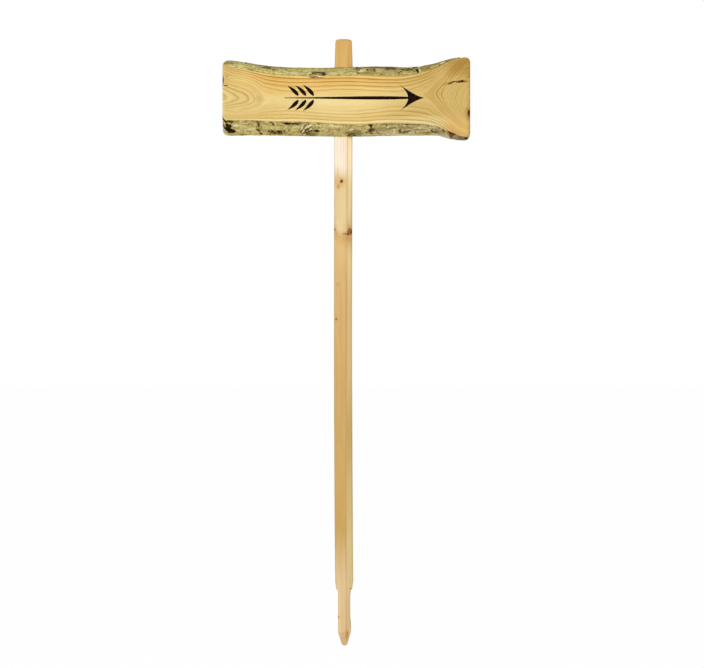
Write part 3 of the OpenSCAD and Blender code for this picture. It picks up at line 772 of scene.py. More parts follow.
# Scars, pits and dark remains on the bark, above (1) and below (-1): x, place across,
# half length and half height in millimetres as seen from the front, tilt in degrees,
# darkness (a patch below a half stays olive brown) and depth in millimetres
barkMarks = {
    1: [
        (-288, 0.4, 11, 2.4, 6, 0.34, 0.1), (-282, 0.45, 13, 1.1, 8, 0.55, 0.3),
        (-242, 0.9, 2, 1.2, 0, 0.9, 0.3), (-226, 0.1, 12, 1.2, -14, 0.55, 0.2),
        (-206, 0.85, 2.5, 1.2, 0, 0.8, 0.3), (-194, 0.7, 2.2, 3, -60, 0.8, 0.4),
        (-190, 0.88, 1.7, 2, 40, 0.75, 0.4), (-186, 0.8, 3.4, 1.5, 0, 0.95, 0.5),
        (-180, 0.66, 1.8, 1.7, 0, 0.8, 0.4), (-173, 0.55, 2.7, 1.5, -15, 0.95, 0.5),
        (-168, 0.5, 1.7, 1, 0, 0.7, 0.3), (-180, 0.75, 20, 4, -4, 0.3, 0.2),
        (-154, 0.87, 4, 0.9, 0, 0.75, 0.2), (-145, 0.8, 2.2, 1, 0, 0.75, 0.2),
        (-140, 0.66, 1.5, 2.2, 20, 0.75, 0.3), (-134, 0.96, 15, 0.8, -2, 0.5, 0.1),
        (-210, 0.95, 26, 0.8, -6, 0.45, 0.1), (-95, 0.9, 3, 0.9, 0, 0.5, 0.2),
        (-82, 0.12, 5.4, 1.2, 35, 0.6, 0.4), (-74, 0.28, 4, 1.2, 35, 0.7, 0.4),
        (-58, 0.38, 11, 1.4, 0, 0.95, 0.5), (-49, 0.22, 5.4, 2.6, -15, 0.95, 0.6),
        (-57, 0.08, 9, 1.2, 0, 0.6, 0.4), (-60, 0.18, 18, 4, 0, 0.42, 0.3), (-44, 0.9, 2.5, 1, 0, 0.5, 0.2),
        (8, 0.35, 7, 1.6, 20, 0.34, 0.2), (26, 0.8, 4, 1.2, 0, 0.4, 0.2), (32, 0.6, 5, 6, 60, 0.28, 0.2),
        (37, 0.25, 4, 2.4, 0, 0.6, 0.3), (30, 0.98, 4, 1, 0, 0.8, 0.2), (59, 0.62, 2.4, 1.8, 0, 0.85, 0.5),
        (67, 0.8, 5.4, 1, 0, 0.5, 0.2), (76, 0.55, 2, 4.5, 10, 0.72, 0.5), (79, 0.9, 34, 1.4, 0, 0.6, 0.2),
        (69, 0.58, 10, 5, 0, 0.42, 0.2), (84, 0.84, 34, 1.6, 0, 0.5, 0.2), (118, 0.7, 20, 4, 0, 0.4, 0.2),
        (92, 0.06, 2.4, 1.5, 0, 0.85, 0.4), (110, 0.7, 4, 0.9, -10, 0.55, 0.2),
        (125, 0.72, 2.6, 1.5, 10, 0.92, 0.5), (136, 0.32, 1.3, 2.5, 30, 0.85, 0.5),
        (141, 0.4, 4, 1, 30, 0.9, 0.7), (145, 0.72, 6.4, 1.2, 0, 0.85, 0.5),
        (150, 0.65, 2.5, 2.5, 60, 0.9, 0.7), (158, 0.5, 4, 1, 15, 0.9, 0.7),
        (165, 0.58, 4, 1.2, -10, 0.95, 0.7), (174, 0.82, 3, 1.3, 0, 1, 0.6),
        (175, 0.38, 4.4, 1, -10, 0.85, 0.6), (181, 0.48, 3, 2.4, 0, 1, 1.2),
        (183, 0.32, 2.2, 4.6, 10, 1.15, 1.6), (160, 0.7, 24, 3, 0, 0.38, 0.2),
        (207, 0.34, 6, 1.3, 8, 0.55, 0.3), (60, 0.25, 22, 3.2, 0, 0.36, 0.1),
        (112, 0.25, 28, 2.6, 0, 0.34, 0.1), (222, 0.85, 24, 0.9, 16, 0.6, 0.2),
        (236, 0.2, 2.4, 1.5, 20, 0.9, 0.4), (256, 0.4, 6, 0.8, 30, 0.6, 0.2),
        (272, 0.7, 10, 1, 16, 0.7, 0.2),
    ],
    -1: [
        (-286, 0.1, 11, 2.6, 0, 1.1, 0.6), (-275, 0.11, 5, 1.5, 0, 1.1, 0.6),
        (-286, 0.4, 3, 4.8, 8, 2.1, 1.4), (-281, 0.64, 10.5, 2.9, -16, 2.5, 1.8),
        (-276, 0.16, 3, 2, 0, 0.8, 0.4), (-262, 0.07, 8, 1, 0, 0.6, 0.2), (-249, 0.95, 5, 1, 0, 0.9, 0.3),
        (-240, 0.06, 9, 0.9, 0, 0.7, 0.2), (-232, 0.28, 3, 0.9, 5, 0.65, 0.3),
        (-245, 0.3, 1.8, 1.2, 0, 0.6, 0.2), (-212, 0.08, 3, 1.7, -40, 0.9, 0.4),
        (-209, 0.28, 2.6, 4.6, 5, 0.85, 0.5), (-210.5, 0.66, 5, 1.7, -28, 1.2, 0.9),
        (-204, 0.88, 3.4, 1.5, -20, 1, 0.3), (-208, 0.45, 7, 12, 0, 0.3, 0.2),
        (-190, 0.25, 2.2, 1.2, 0, 0.6, 0.3), (-178, 0.1, 4, 1.5, -20, 0.9, 0.4),
        (-173, 0.22, 3, 1.9, -50, 0.9, 0.4), (-184, 0.72, 3, 1.3, 10, 0.85, 0.4),
        (-175, 0.74, 5, 1.8, -45, 0.9, 0.5), (-171, 0.87, 4, 1.2, -20, 0.7, 0.3),
        (-158, 0.76, 5, 3, 0, 1.3, 1), (-160, 0.76, 13, 3.4, 0, 0.5, 0.4),
        (-153, 0.1, 4, 0.9, 0, 0.75, 0.3), (-146, 0.7, 2.5, 2, 60, 0.65, 0.3),
        (-139, 0.16, 8, 2.1, -3, 1.5, 1), (-120, 0.15, 15, 1.7, -2, 1.0, 0.5),
        (-134, 0.62, 2.2, 2, 50, 0.5, 0.3), (-150, 0.3, 40, 1.2, 0, 0.32, 0.2),
        (-107, 0.55, 3, 1.2, 42, 0.75, 0.4), (-101, 0.7, 5, 1.2, 42, 0.75, 0.4),
        (-97, 0.3, 5, 1.1, 42, 0.7, 0.4), (-94, 0.75, 4, 1.3, 42, 0.85, 0.5),
        (-86, 0.2, 4, 1.1, 42, 0.7, 0.4), (-79, 0.62, 6, 1.3, 0, 0.75, 0.4),
        (-66, 0.62, 4.6, 2, 0, 1.5, 0.8), (-90, 0.6, 18, 9, 12, 0.4, 0.2),
        (-80, 0.86, 13, 3.4, 0, 0.55, 0.3), (-36, 0.55, 3, 2, 40, 0.4, 0.2),
        (-12, 0.5, 3, 3, 40, 0.36, 0.2), (10, 0.68, 4, 1.2, 0, 0.6, 0.3), (20, 0.8, 8, 1.8, 12, 0.85, 0.5),
        (30, 0.72, 15, 6, 4, 0.46, 0.3), (98, 0.42, 24, 4, 0, 0.36, 0.2), (154, 0.36, 20, 3.4, 0, 0.4, 0.2),
        (14, 0.3, 5, 1.4, 30, 0.4, 0.2), (67, 0.12, 4.4, 2.6, -20, 1.4, 0.8),
        (68, 0.28, 2, 2, 0, 0.75, 0.4), (69, 0.46, 4.4, 2.1, -25, 1.4, 0.8),
        (82, 0.62, 9, 1.2, -40, 0.45, 0.3), (57, 0.7, 3, 2, 40, 0.5, 0.2),
        (106, 0.22, 3, 1.6, -60, 0.8, 0.5), (101, 0.12, 5, 0.9, 0, 0.65, 0.3),
        (124, 0.38, 3, 1.3, 0, 0.55, 0.3), (136, 0.26, 2, 1.2, 0, 0.5, 0.2),
        (168, 0.08, 26, 1.4, 0, 0.8, 0.4), (112, 0.08, 20, 1.3, 0, 0.7, 0.3),
        (177, 0.74, 3, 1.2, -30, 0.65, 0.3), (186, 0.52, 18, 1.2, 0, 0.48, 0.3),
        (210, 0.75, 22, 1.4, 4, 0.42, 0.3), (201, 0.1, 3, 1, -40, 0.6, 0.3),
        (220, 0.59, 2, 1.6, 0, 0.85, 0.4), (236, 0.12, 2.4, 1.6, 0, 0.9, 0.5),
        (233, 0.55, 13, 5, -8, 0.36, 0.2), (247, 0.25, 3.4, 3.4, 0, 0.7, 0.4),
        (252, 0.1, 8, 1.6, -35, 0.75, 0.4), (302, 0.5, 4, 1.6, -20, 0.9, 0.4),
        (288, 0.3, 5, 0.9, 0, 0.6, 0.2), (292, 0.65, 9, 1.6, 0, 0.45, 0.2),
    ],
}
# Pale places where the outer skin has gone: x, place across, half length, half height
# and strength
barkPale = {
    1: [
        (-250, 0.35, 30, 2, 0.4), (38, 0.85, 14, 3, 0.65), (-28, 0.3, 14, 2.6, 0.35),
        (-122, 0.3, 16, 3, 0.35), (-58, 0.24, 8, 1, 0.9), (-49, 0.06, 6, 1.3, 0.9), (-84, 0.3, 4, 1.4, 0.8),
        (42, 0.5, 9, 3.5, 0.7), (108, 0.25, 26, 1.5, 0.5), (165, 0.86, 5, 1.4, 0.8), (187, 0.35, 5, 3, 0.8),
        (244, 0.55, 7, 2.2, 0.95), (232, 0.3, 6, 1.6, 0.8), (222, 0.3, 8, 1.2, 0.6),
    ],
    -1: [
        (-265, 0.35, 9, 2.2, 0.8), (-290, 0.95, 7, 1.4, 0.8), (-262, 0.66, 13, 1.8, 0.6),
        (-230, 0.6, 10, 2.5, 0.5), (-206, 0.75, 2.4, 1.6, 0.9), (-140, 0.3, 7, 1.1, 0.6),
        (-122, 0.04, 12, 1.2, 0.5), (-110, 0.35, 14, 1.6, 0.6), (-20, 0.2, 20, 2, 0.4),
        (20, 0.45, 5, 1.4, 0.9), (9, 0.9, 2.6, 1.4, 0.9), (108, 0.32, 3, 1.4, 0.9),
        (123, 0.52, 3.4, 1.6, 0.9), (124, 0.78, 4, 1.5, 0.8), (135, 0.38, 2.4, 1.4, 0.9),
        (110, 0.86, 4, 1.4, 0.8), (168, 0.8, 8, 1.4, 0.7), (145, 0.9, 26, 2, 0.5),
        (240, 0.85, 22, 2.4, 0.6), (213, 0.5, 3, 1.4, 0.8), (253, 0.12, 3.5, 4, 1.0),
    ],
}


def edgeSlope(x, u, side):
    step = 0.04
    low, high = np.clip(u - step, 0, 1), np.clip(u + step, 0, 1)
    rise = edgeZ(x, high, side) - edgeZ(x, low, side)
    return rise / ((high - low) * (slabBack - slabLow[1]))


def barkPoint(x, u, lift, side):
    x = np.clip(x, slabLow[0], slabHigh[0])
    y = slabBack + u * (faceY(x) - slabBack)
    z = edgeZ(x, u, side) + side * lift * np.sqrt(1 + edgeSlope(x, u, side) ** 2)
    return stacked(x, y, z)


def seenWidth(x, lift, side):
    # Height of the strip as it is seen from the front, with the bark's thickness
    return np.abs(barkPoint(x, 0 * x, lift, side)[..., 2] - edgeZ(x, np.ones_like(x), side))


def acrossAt(x, u, lift, full, side):
    # How far across the strip a place looks from the front; full is the bark's thickness
    front = edgeZ(x, np.ones_like(x), side)
    return np.abs(barkPoint(x, u, lift, side)[..., 2] - front) / np.maximum(seenWidth(x, full, side), 1)


def uAt(x, across, side):
    # The place from back to face at which the strip looks this far across
    steps = np.linspace(1, 0, 40)
    seen = acrossAt(np.full(40, float(x)), steps, bark["full"] + 0.3, bark["full"], side)
    return float(np.interp(across, np.maximum.accumulate(seen), steps))


def markValues(x, across, lift, side, points):
    # Darkness, depth and paleness of the bark at each place
    uneven = ripple(points, *bark["markEdge"])
    dark, pit, pale = np.zeros((3, len(x)))
    width = seenWidth(x, lift, side)
    for mx, ma, along, wide, tilt, strength, depth in barkMarks[side]:
        dx, dz = turned(x - mx, side * (across - ma) * width, tilt)
        d = np.hypot(dx / along, dz / wide) + uneven
        dark = np.maximum(dark, strength * smooth(1.9, 0.65, d))
        pit = np.maximum(pit, depth * smooth(1.3, 0.6, d))
    for mx, ma, along, wide, strength in barkPale[side]:
        d = np.hypot((x - mx) / along, (across - ma) * width / wide) + uneven
        pale = np.maximum(pale, strength * smooth(1.5, 0.5, d))
    return dark, pit, pale


def makeBarkStrip(name, strip):
    side, lift = strip["side"], strip["lift"]
    low, high = boxOf(strip["node"])
    cells = max(12, int((high[0] - low[0]) / bark["cell"]))

    def place(s, depth, coats):
        u = 1 - depth
        start = low[0] + np.interp(u, (0, 1), strip["start"])
        finish = high[0] - np.interp(u, (0, 1), strip["finish"])
        # Broken ends are ragged; sawn ends at the board's own ends are not
        line = stacked(0, 40 * u, 0)
        if low[0] > slabLow[0] + 1:
            start = start + ripple(line, *bark["leftBreak"])
        if high[0] < slabHigh[0] - 1:
            finish = finish + ripple(line, *bark["rightBreak"])
        x = start + s * (finish - start)
        chips = ripple(stacked(x, 0, 0), 1, bark["chipSize"], 23 + side)
        across = acrossAt(x, u, coats * lift, lift, side)
        dark, pit, pale = markValues(x, across, lift, side, stacked(x, 30 * u, 0))
        u = u * (1 - bark["chipped"] * np.maximum(0, chips - 0.2))
        points = barkPoint(x, u, lift, side)
        relief = ripple(points, *bark["wave"]) + ripple(points, *bark["skin"]) - pit
        relief *= np.clip(lift / 2.5, 0.4, 1)
        top = np.maximum(bark["leastLift"], lift + relief)
        # It thins out to the worn front
        top = np.where(u > 0.94, np.minimum(top, lift * 0.95), top)
        dark, pale = dark * smooth(0.0, 0.6, coats), pale * smooth(0.5, 1.0, coats)
        return barkPoint(x, u, coats * top + 0.02, side), {"dark": dark, "pale": pale, "across": across}

    return blockObject(name, (cells, bark["rows"], bark["coats"]), place)


# Smooth young bark, dried on the wood: yellow-green skin mottled with olive, dull, with
# pale fibrous bast where it is cut through and grey where it has weathered
barkLook = {
    "green": "BFB26A", "olive": "9A8C48", "light": "D3C883", "dust": "E2D9A4",
    "rind": "7A6330", "halo": "7A6636", "brown": "43300F", "black": "120B05",
    "ledgeShadow": "AF9F68", "ledgeShadowReach": {1: 0.1, -1: 0.26},  # a painted shadow line beside the face, and how far it reaches above and below
    "agesFrom": (50, 160),  # along the board
    # Sizes in millimetres, along the board and across it
    "streak": (30, 3.2, 3.2), "patch": (14, 8, 8), "mottle": (7, 4.5, 4.5),
    "broad": 45, "speck": 5, "broken": 3.2, "fine": 1.8,
    "roughness": 0.85, "ior": 1.45, "gloss": 0.2, "bump": (0.6, 0.8),
}


def barkMaterial(name, strip):
    look = barkLook
    material, add, dark, pale, across = newMaterial(name, "dark", "pale", "across")
    place = add("TexCoord").outputs["Object"]
    x = add("SeparateXYZ", place).outputs["X"]
    x = add("Math", x, 1000, operation="MULTIPLY")  # millimetres

    # Skin that stretched as the tree grew: everything is drawn out along the board
    drawnOut = []
    for key in ("streak", "patch", "mottle"):
        along = add("Mapping", named={"Vector": place, "Scale": patternScale(look[key])})
        drawnOut.append(add("TexNoise", along, 1.0, 4.0, 0.62))
    streaks, patches, mottle = drawnOut
    broad = add("TexNoise", place, patternScale(look["broad"]))
    fine = add("TexNoise", place, patternScale(look["fine"]), 3.0, 0.7)
    specks = add("TexNoise", place, patternScale(look["speck"]), 2.0, 0.6)

    mixed = add("Math", streaks, patches, operation="ADD")
    mixed = add("Math", mixed, 0.5, operation="MULTIPLY")
    colour = add("ValToRGB", mixed, stops=[(0.38, look["olive"]), (0.5, look["green"]), (0.6, look["light"])])
    # Aged in patches, and more so to the right
    grey = strip["grey"]
    aged = add("MapRange", x, *look["agesFrom"], grey, min(1, grey + 0.6))
    patchy = add("MapRange", broad, 0.35 if grey < 1 else 0.1, 0.58)
    aged = add("Math", aged, patchy, operation="MULTIPLY")
    colour = add("Mix", aged, colour, strip["aged"])
    colour = toned(add, colour, fine, [(0.3, 0.7), (0.5, 0.97), (0.7, 1.0)], 0.6)
    # Specks of darker cork and of pale, rubbed skin
    colour = tinted(add, colour, specks, 0.44, 0.33, look["halo"], 0.7)
    colour = tinted(add, colour, specks, 0.56, 0.68, look["dust"], 0.7)
    # Painted shade: a shadow line where it meets the face, in places, and shade where it turns away from the
    # light
    ledgeShadow = look["ledgeShadowReach"][strip["side"]]
    edge = add("MapRange", patches, 0.58, 0.42, 0.25, 1.0)
    edge = add("Math", edge, add("Math", across, 0.5, operation="GREATER_THAN"), operation="MAXIMUM")
    colour = toned(add, colour, across, [
        (0.0, look["ledgeShadow"]), (ledgeShadow, "FFFFFF"), (0.75, "FFFFFF"), (1.0, strip["outlineShade"])], edge)
    colour = tinted(add, colour, mottle, 0.44, 0.33, look["rind"], 0.75)
    colour = add("Mix", 1.0, colour, strip["shade"], blend_type="MULTIPLY")
    colour = add("Mix", pale, colour, look["dust"])

    # Scars and pits: ragged, with an olive brown border; the darkest have black cores, dark cork with painted
    # shade inside the pit
    broken = add("TexNoise", place, patternScale(look["broken"]), 3.0, 0.65)
    rough = add("MapRange", broken, 0.3, 0.7, 0.55, 1.35)
    rough = add("Math", dark, rough, operation="MULTIPLY")
    colour = tinted(add, colour, rough, 0.08, 0.5, look["halo"], 0.9)
    core = add("ValToRGB", rough, stops=[(0.48, 0.0), (0.8, 1.0)])
    inner = add("ValToRGB", rough, stops=[(0.6, look["brown"]), (0.95, look["black"])])
    colour = add("Mix", core, colour, inner)
    coat(add, look, colour, add("Math", mixed, fine, operation="ADD"))
    return material


for name, strip in barkStrips.items():
    obj = makeBarkStrip(name, strip)
    material = barkMaterial(name + "Skin", strip)
    addPiece(obj, material, [strip["node"]])
print("bark ready")


# Outer bark: thin dark scales that still cling to the strips. The larger ones lie where
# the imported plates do, with crumbs round the dark marks.
scales = {
    "sides": 12, "seed": 12,
    "profile": [(0.0, 0.0), (0.95, 0.0), (1.03, 0.5), (0.85, 1.0), (0.45, 0.85), (0.0, 1.0)],  # reach, rise
    "torn": [(0.42, 0.7, 41), (0.2, 0.22, 42)], "bumpy": (0.25, 3.0, 43),
    "perPlate": 14, "perRightPlate": 5, "rightOf": 200,
    "half": (1.2, 4.2), "halfAcross": (0.02, 0.07), "thick": (0.6, 1.1),  # least and most
    # Left of here they lie this far off, closer together and darker
    "leftEnd": (-255, -12, 0.6, -1.0),
}


def scaleParts(x, u, side, long, wide, thick, turn):
    # One scale, bent to the bark below it, with a torn outline and a lifted rim
    angle = np.linspace(0, 2 * math.pi, scales["sides"], endpoint=False)
    seeds = stacked(np.cos(angle), np.sin(angle), turn)
    torn = sum((ripple(seeds, *wave) for wave in scales["torn"]), 1)
    points = []
    c, s = math.cos(turn), math.sin(turn)
    for reach, rise in scales["profile"]:
        dx = torn * reach * np.cos(angle)
        du = torn * reach * np.sin(angle)
        px, pu = x + long * (dx * c - du * s * 0.3), u + wide * (du * c + dx * s * 0.3)
        pu = np.clip(pu, 0.01, 0.995)
        bumpy = ripple(stacked(px, 30 * pu, rise), *scales["bumpy"])
        lift = bark["full"] + 0.1 + thick * (rise + (bumpy if rise > 0.5 else 0)) + 0.5 * reach * reach
        points.append(barkPoint(px, pu, lift, side))
    return np.concatenate(points)


def looseParts(node):
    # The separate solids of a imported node, each as its points, from left to right
    work = bmesh.new()
    work.from_mesh(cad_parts[node].data)
    bmesh.ops.remove_doubles(work, verts=work.verts, dist=1e-6)
    seen, parts = set(), []
    for start in work.verts:
        if start in seen:
            continue
        stack, part = [start], []
        seen.add(start)
        while stack:
            v = stack.pop()
            part.append(v.co / mm)
            near = {e.other_vert(v) for e in v.link_edges} - seen
            seen |= near
            stack.extend(near)
        parts.append(np.array(part))
    work.free()
    return sorted(parts, key=lambda part: part[:, 0].mean())


def makeScales(name, node, side):
    dice = random.Random(scales["seed"] + side)
    leftOf, shift, closer, darker = scales["leftEnd"]
    points, faces, tones = [], [], []
    for plate in looseParts(node):
        low, high = plate.min(0), plate.max(0)
        x, long = (low[0] + high[0]) / 2, (high[0] - low[0]) / 2
        us = (plate[:, 1] - slabBack) / (slabLow[1] - slabBack)
        u, wide = (us.min() + us.max()) / 2, (us.max() - us.min()) / 2
        x, spread, tone = (x + shift, closer, darker) if x < leftOf else (x, 1, 1)
        todo = []
        for _ in range(scales["perPlate"] if x < scales["rightOf"] else scales["perRightPlate"]):
            reach, turn = spread * dice.uniform(0.05, 1.15), dice.uniform(0, 2 * math.pi)
            cx, cu = x + long * reach * math.cos(turn), u + wide * reach * math.sin(turn)
            size = [dice.uniform(*scales[key]) for key in ("half", "halfAcross", "thick")]
            todo.append((cx, min(max(cu, 0.06), 0.94), side, *size))
        for scale in todo:
            more = scaleParts(*scale, dice.uniform(-0.5, 0.5))
            faces += tubeFaces(len(scales["profile"]), scales["sides"], len(points))
            points.extend(more)
            tones += [tone * dice.uniform(0, 1)] * len(more)
    obj = meshObject(name, points, faces)
    setValues(obj, tone=tones)
    return obj


# Dead outer bark: corky, nearly black in the cracks, brown to grey on top, quite matt
scaleLook = {"dark": "20150A", "brown": "54401E", "grey": "8A7C50", "cork": 3,
             "roughness": 0.9, "ior": 1.45, "gloss": 0.15, "bump": (0.8, 1.0)}


def scaleMaterial():
    look = scaleLook
    material, add, tone = newMaterial("corkyBark", "tone")
    place = add("TexCoord").outputs["Object"]
    cork = add("TexNoise", place, patternScale(look["cork"]), 5.0, 0.7)
    mixed = add("Math", tone, 0.25, cork, operation="MULTIPLY_ADD")
    colour = add("ValToRGB", mixed, stops=[(0.4, look["dark"]), (0.6, look["brown"]), (0.75, look["grey"])])
    coat(add, look, colour, cork)
    return material


corkyBark = scaleMaterial()
for name, node, side in (("upperScales", "upper_outer_bark", 1), ("lowerScales", "lower_outer_bark", -1)):
    addPiece(makeScales(name, node, side), corkyBark, [node])
print("scales ready")


# Torn bast on the bark where it was knocked. Place x, place across, side, length,
# half width and lean in degrees
splinters = [
    (-103, 0.45, -1, 12, 1.1, 42), (-98, 0.62, -1, 14, 1.2, 42), (-92, 0.4, -1, 16, 1.4, 42),
    (-89, 0.68, -1, 13, 1.1, 40), (-85, 0.3, -1, 14, 1.3, 45), (-82, 0.52, -1, 10, 1.0, 38),
    (-96, 0.86, -1, 9, 1.0, 44), (-78, 0.1, -1, 10, 1.0, 42), (-88, 0.2, 1, 9, 0.9, 35),
    (-83, 0.34, 1, 8, 0.9, 12), (-80, 0.16, 1, 7, 0.8, 48), (162, 0.82, 1, 6, 0.8, 20),
    (166, 0.9, 1, 7, 0.9, 25), (158, 0.86, 1, 6, 0.8, 10), (187, 0.12, 1, 7, 0.9, 70),
    (74, 0.6, -1, 8, 0.8, -50), (124, 0.5, -1, 6, 0.9, 20), (108, 0.3, -1, 6, 0.9, -10),
    (21, 0.4, -1, 6, 1.0, 30),
]
# Shreds that hang over the face below the scar: place (x, z), length, half width,
# lean in degrees and how brown they are
shreds = [
    (-71, 1268.5, 21, 1.9, -3, 1.0), (-60, 1270, 15, 1.5, -16, 0.05), (-53, 1268.2, 10, 1.2, -24, 0.15),
    (-66, 1266.4, 12, 1.1, 4, 0.75), (-88, 1271, 9, 0.8, 38, 0.2), (-83, 1269.8, 8, 0.8, 24, 0.3),
]


def makeSplinters():
    points, faces, tones = [], [], []

    def addStrand(steps, tone, section, place):
        # A tapered strand: section gives its half width, its edges' lift and its ridge's
        first = len(points)
        for i in range(steps + 1):
            t = i / steps
            taper, edge, ridge = section(t)
            points.extend(place(t, across, lift)
                          for across, lift in ((-taper, edge), (0, ridge), (taper, edge), (0, -0.2)))
        tones.extend([tone] * (len(points) - first))
        faces.extend(tubeFaces(steps + 1, 4, first, capped=True))

    for k, (x, across, side, length, half, lean) in enumerate(splinters):
        middle = uAt(x, across, side)
        # How fast the strip falls away, so that the splinter looks straight from the front
        back, face = edgeZ(np.array([x, x]), np.array([0.0, 1.0]), side)

        def onBark(t, dx, lift):
            px, pv = turned((t - 0.5) * length, dx, -lean)
            u = np.clip(middle - side * pv / abs(back - face), 0.01, 0.99)
            return barkPoint(np.array([x + px]), np.array([u]), bark["full"] + 0.6 + lift, side)[0]

        def section(t):
            taper = half * math.sin(math.pi * (0.08 + 0.84 * t)) ** 0.6
            return taper, 0.1, 0.7 + 0.5 * math.sin(3 * t + k)

        addStrand(6, 0.0, section, onBark)

    for k, (x, z, length, half, lean, brown) in enumerate(shreds):
        def overFace(t, dx, out):
            px, pz = turned((t - 0.5) * length, dx, -lean)
            return (x + px, slabLow[1] - out, z + pz + 0.4 * math.sin(7 * t + k))

        def section(t):
            taper = half * math.sin(math.pi * (0.06 + 0.88 * t)) ** 0.5 * (1 + 0.25 * math.sin(9 * t + 2 * k))
            return taper, 0.15, 1.0 + 0.2 * k % 0.5

        addStrand(8, brown, section, overFace)
    obj = meshObject("bastSplinters", points, faces)
    setValues(obj, tone=tones)
    return obj


# Stringy inner bark: straw coloured where it is fresh, brown where it is old, matt
bastLook = {"straw": "C2B070", "pale": "EFE6B0", "brown": "6B4A26", "light": "A98A58", "thread": 1.5,
            "roughness": 0.8, "ior": 1.5, "gloss": 0.3}


def bastMaterial():
    look = bastLook
    material, add, tone = newMaterial("tornBast", "tone")
    place = add("TexCoord").outputs["Object"]
    threads = add("TexNoise", place, patternScale(look["thread"]), 3.0)
    fresh = add("ValToRGB", threads, stops=[(0.35, look["straw"]), (0.55, look["pale"])])
    old = add("ValToRGB", threads, stops=[(0.4, look["brown"]), (0.62, look["light"])])
    coat(add, look, add("Mix", tone, fresh, old))
    return material


addPiece(makeSplinters(), bastMaterial())
print("splinters ready")


# The post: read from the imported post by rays, then bowed a little as the real one is

postLow, postHigh = boxOf("post")
post = {
    "half": (postHigh[0] - postLow[0]) / 2,
    "sidePoints": 22, "capRings": 9,
    # Rows of points from the foot up: from, to and step
    "levels": [(-136.6, -95, 1.2), (-95, -3, 3.4), (-3, 27, 0.9), (27, 1262, 3.2), (1262, 1357, 2.6),
               (1357, 1364.3, 0.7)],
    "bow": [(-137, 2.4), (0, 1.9), (120, 0.9), (600, -1.2), (1000, -0.6), (1366, 0.4)],
    "planed": (0.14, (12, 12, 90), 51),  # what the plane left
    "knocked": 1.6, "knocks": (1, (30, 30, 24), 52),  # on the arrises: depth, and their pattern
    "drift": (2.5, 420, 53), "wander": (0.25, (30, 30, 260), 55),  # of the pith and of the rings
    "stainEdge": (0.3, 3, 54),
    "pith": (-36, 32),  # middle of the log, behind and to the left
    "ring": 3.1,  # width of a year's growth
    # How pale the wane is, from the foot up, its own yellower wood with painted light that makes up for the
    # shade of its slope, and its width at the ground and at the top
    "wanePaleAndLit": [(-137, 0), (-20, 0.15), (40, 0.6), (250, 0.5), (430, 0.15), (480, 0.35), (700, 0.5),
                 (850, 0.5), (885, 0.05), (910, 0.3), (1000, 0.5), (1110, 0.8), (1290, 0.3), (1366, 0.2)],
    "waneWidth": (18.5, 11.5), "waneSlope": 33,
}
# Knots: place on the surface (x, y, z), radius there, darkness, how far the grain bends
postKnots = [
    ((-4.7, -22.5, 1013), 3.2, 1.0, 1.2), ((19, -20, 889.5), 9.5, 0.54, 2.6),
    ((14.5, -22.5, 883.5), 3.5, 0.72, 0.6), ((22.5, -17, 888), 4.0, 0.85, 0.6),
    ((-22.5, -21, 893), 3.2, 0.9, 1.0), ((-16.6, -22.5, 672), 2.0, 0.9, 0.9),
    ((-13.5, -22.5, 758), 1.5, 0.45, 0.5), ((-14, -22.5, 514), 1.2, 0.35, 0.4),
    ((22.5, 6, 890), 7.0, 0.7, 2.0), ((2, 22.5, 884), 6.5, 0.75, 2.0), ((8, 22.5, 420), 4.5, 0.7, 1.5),
    ((22.5, -3, 468), 1.2, 0.5, 0.4), ((-16, -20, -65), 1.5, 0.6, 0.2), ((-6, 22.5, 1080), 3.0, 0.7, 1.0),
    ((22.5, 9, 300), 4.0, 0.65, 1.4),
]
# Stains that lie on the surface: place (x, z) on the front, half length along x and z, strength
postStains = [
    (-12.5, 1001, 5.5, 7, 0.36), (-18, 1012, 3, 8, 0.2), (-13, 1021, 4, 9, 0.12), (7.5, 883, 11, 3.6, 0.6),
    (6, 888, 10, 6, 0.14), (14, 902, 6, 5, 0.26), (10, 873, 13, 8, 0.22), (-19, 893, 4, 9, 0.16),
    (16, 4, 2.2, 4, 0.36), (15.5, -80, 2, 17, 0.3), (5, -112, 2.4, 14, 0.34), (8, -106, 2, 9, 0.4),
    # The long thin one at x 13 above the board is painted shade in the wane's crease
    (-21.5, 1332, 2, 20, 0.3), (13, 1325, 1.1, 60, 0.16),
]


def readPost():
    # Rings of points round the post from the foot up, with those of both end faces
    tree, far = treeOf("post"), 2000
    along = np.linspace(-1, 1, post["sidePoints"], endpoint=False)
    along = np.sign(along) * (1 - (1 - np.abs(along)) ** 1.35)
    turns = np.concatenate([np.arctan2(along, 1) + k * math.pi / 2 for k in range(4)])
    ways = [Vector((math.cos(turn), math.sin(turn), 0)) for turn in turns]
    levels = [np.linspace(a, b, int((b - a) / step), endpoint=False) for a, b, step in post["levels"]]
    rings = []
    for z in np.concatenate(levels + [[post["levels"][-1][1]]]):
        # Clear of the screw holes, whose shape is cut afterwards
        nearHoles = [hole for hole in screwHeights if abs(z - hole) < 7]
        at = nearHoles[0] + 8 if nearHoles else z
        hits = [hitPoint(tree, out * 60 + Vector((0, 0, at)), -out) for out in ways]
        rings.append([(hit.x, hit.y, z) for hit in hits])
    rings = np.array(rings)
    caps = []
    for ring, way in ((rings[-1], -1), (rings[0], 1)):
        cap = []
        for k in range(1, post["capRings"]):
            inner = [(x, y) for x, y, _ in ring * (1 - k / post["capRings"])]
            cap.append([(x, y, hitPoint(tree, (x, y, -far * way), (0, 0, way)).z) for x, y in inner])
        caps.append(np.array(cap))
    return np.concatenate([caps[1][::-1], rings, caps[0]])


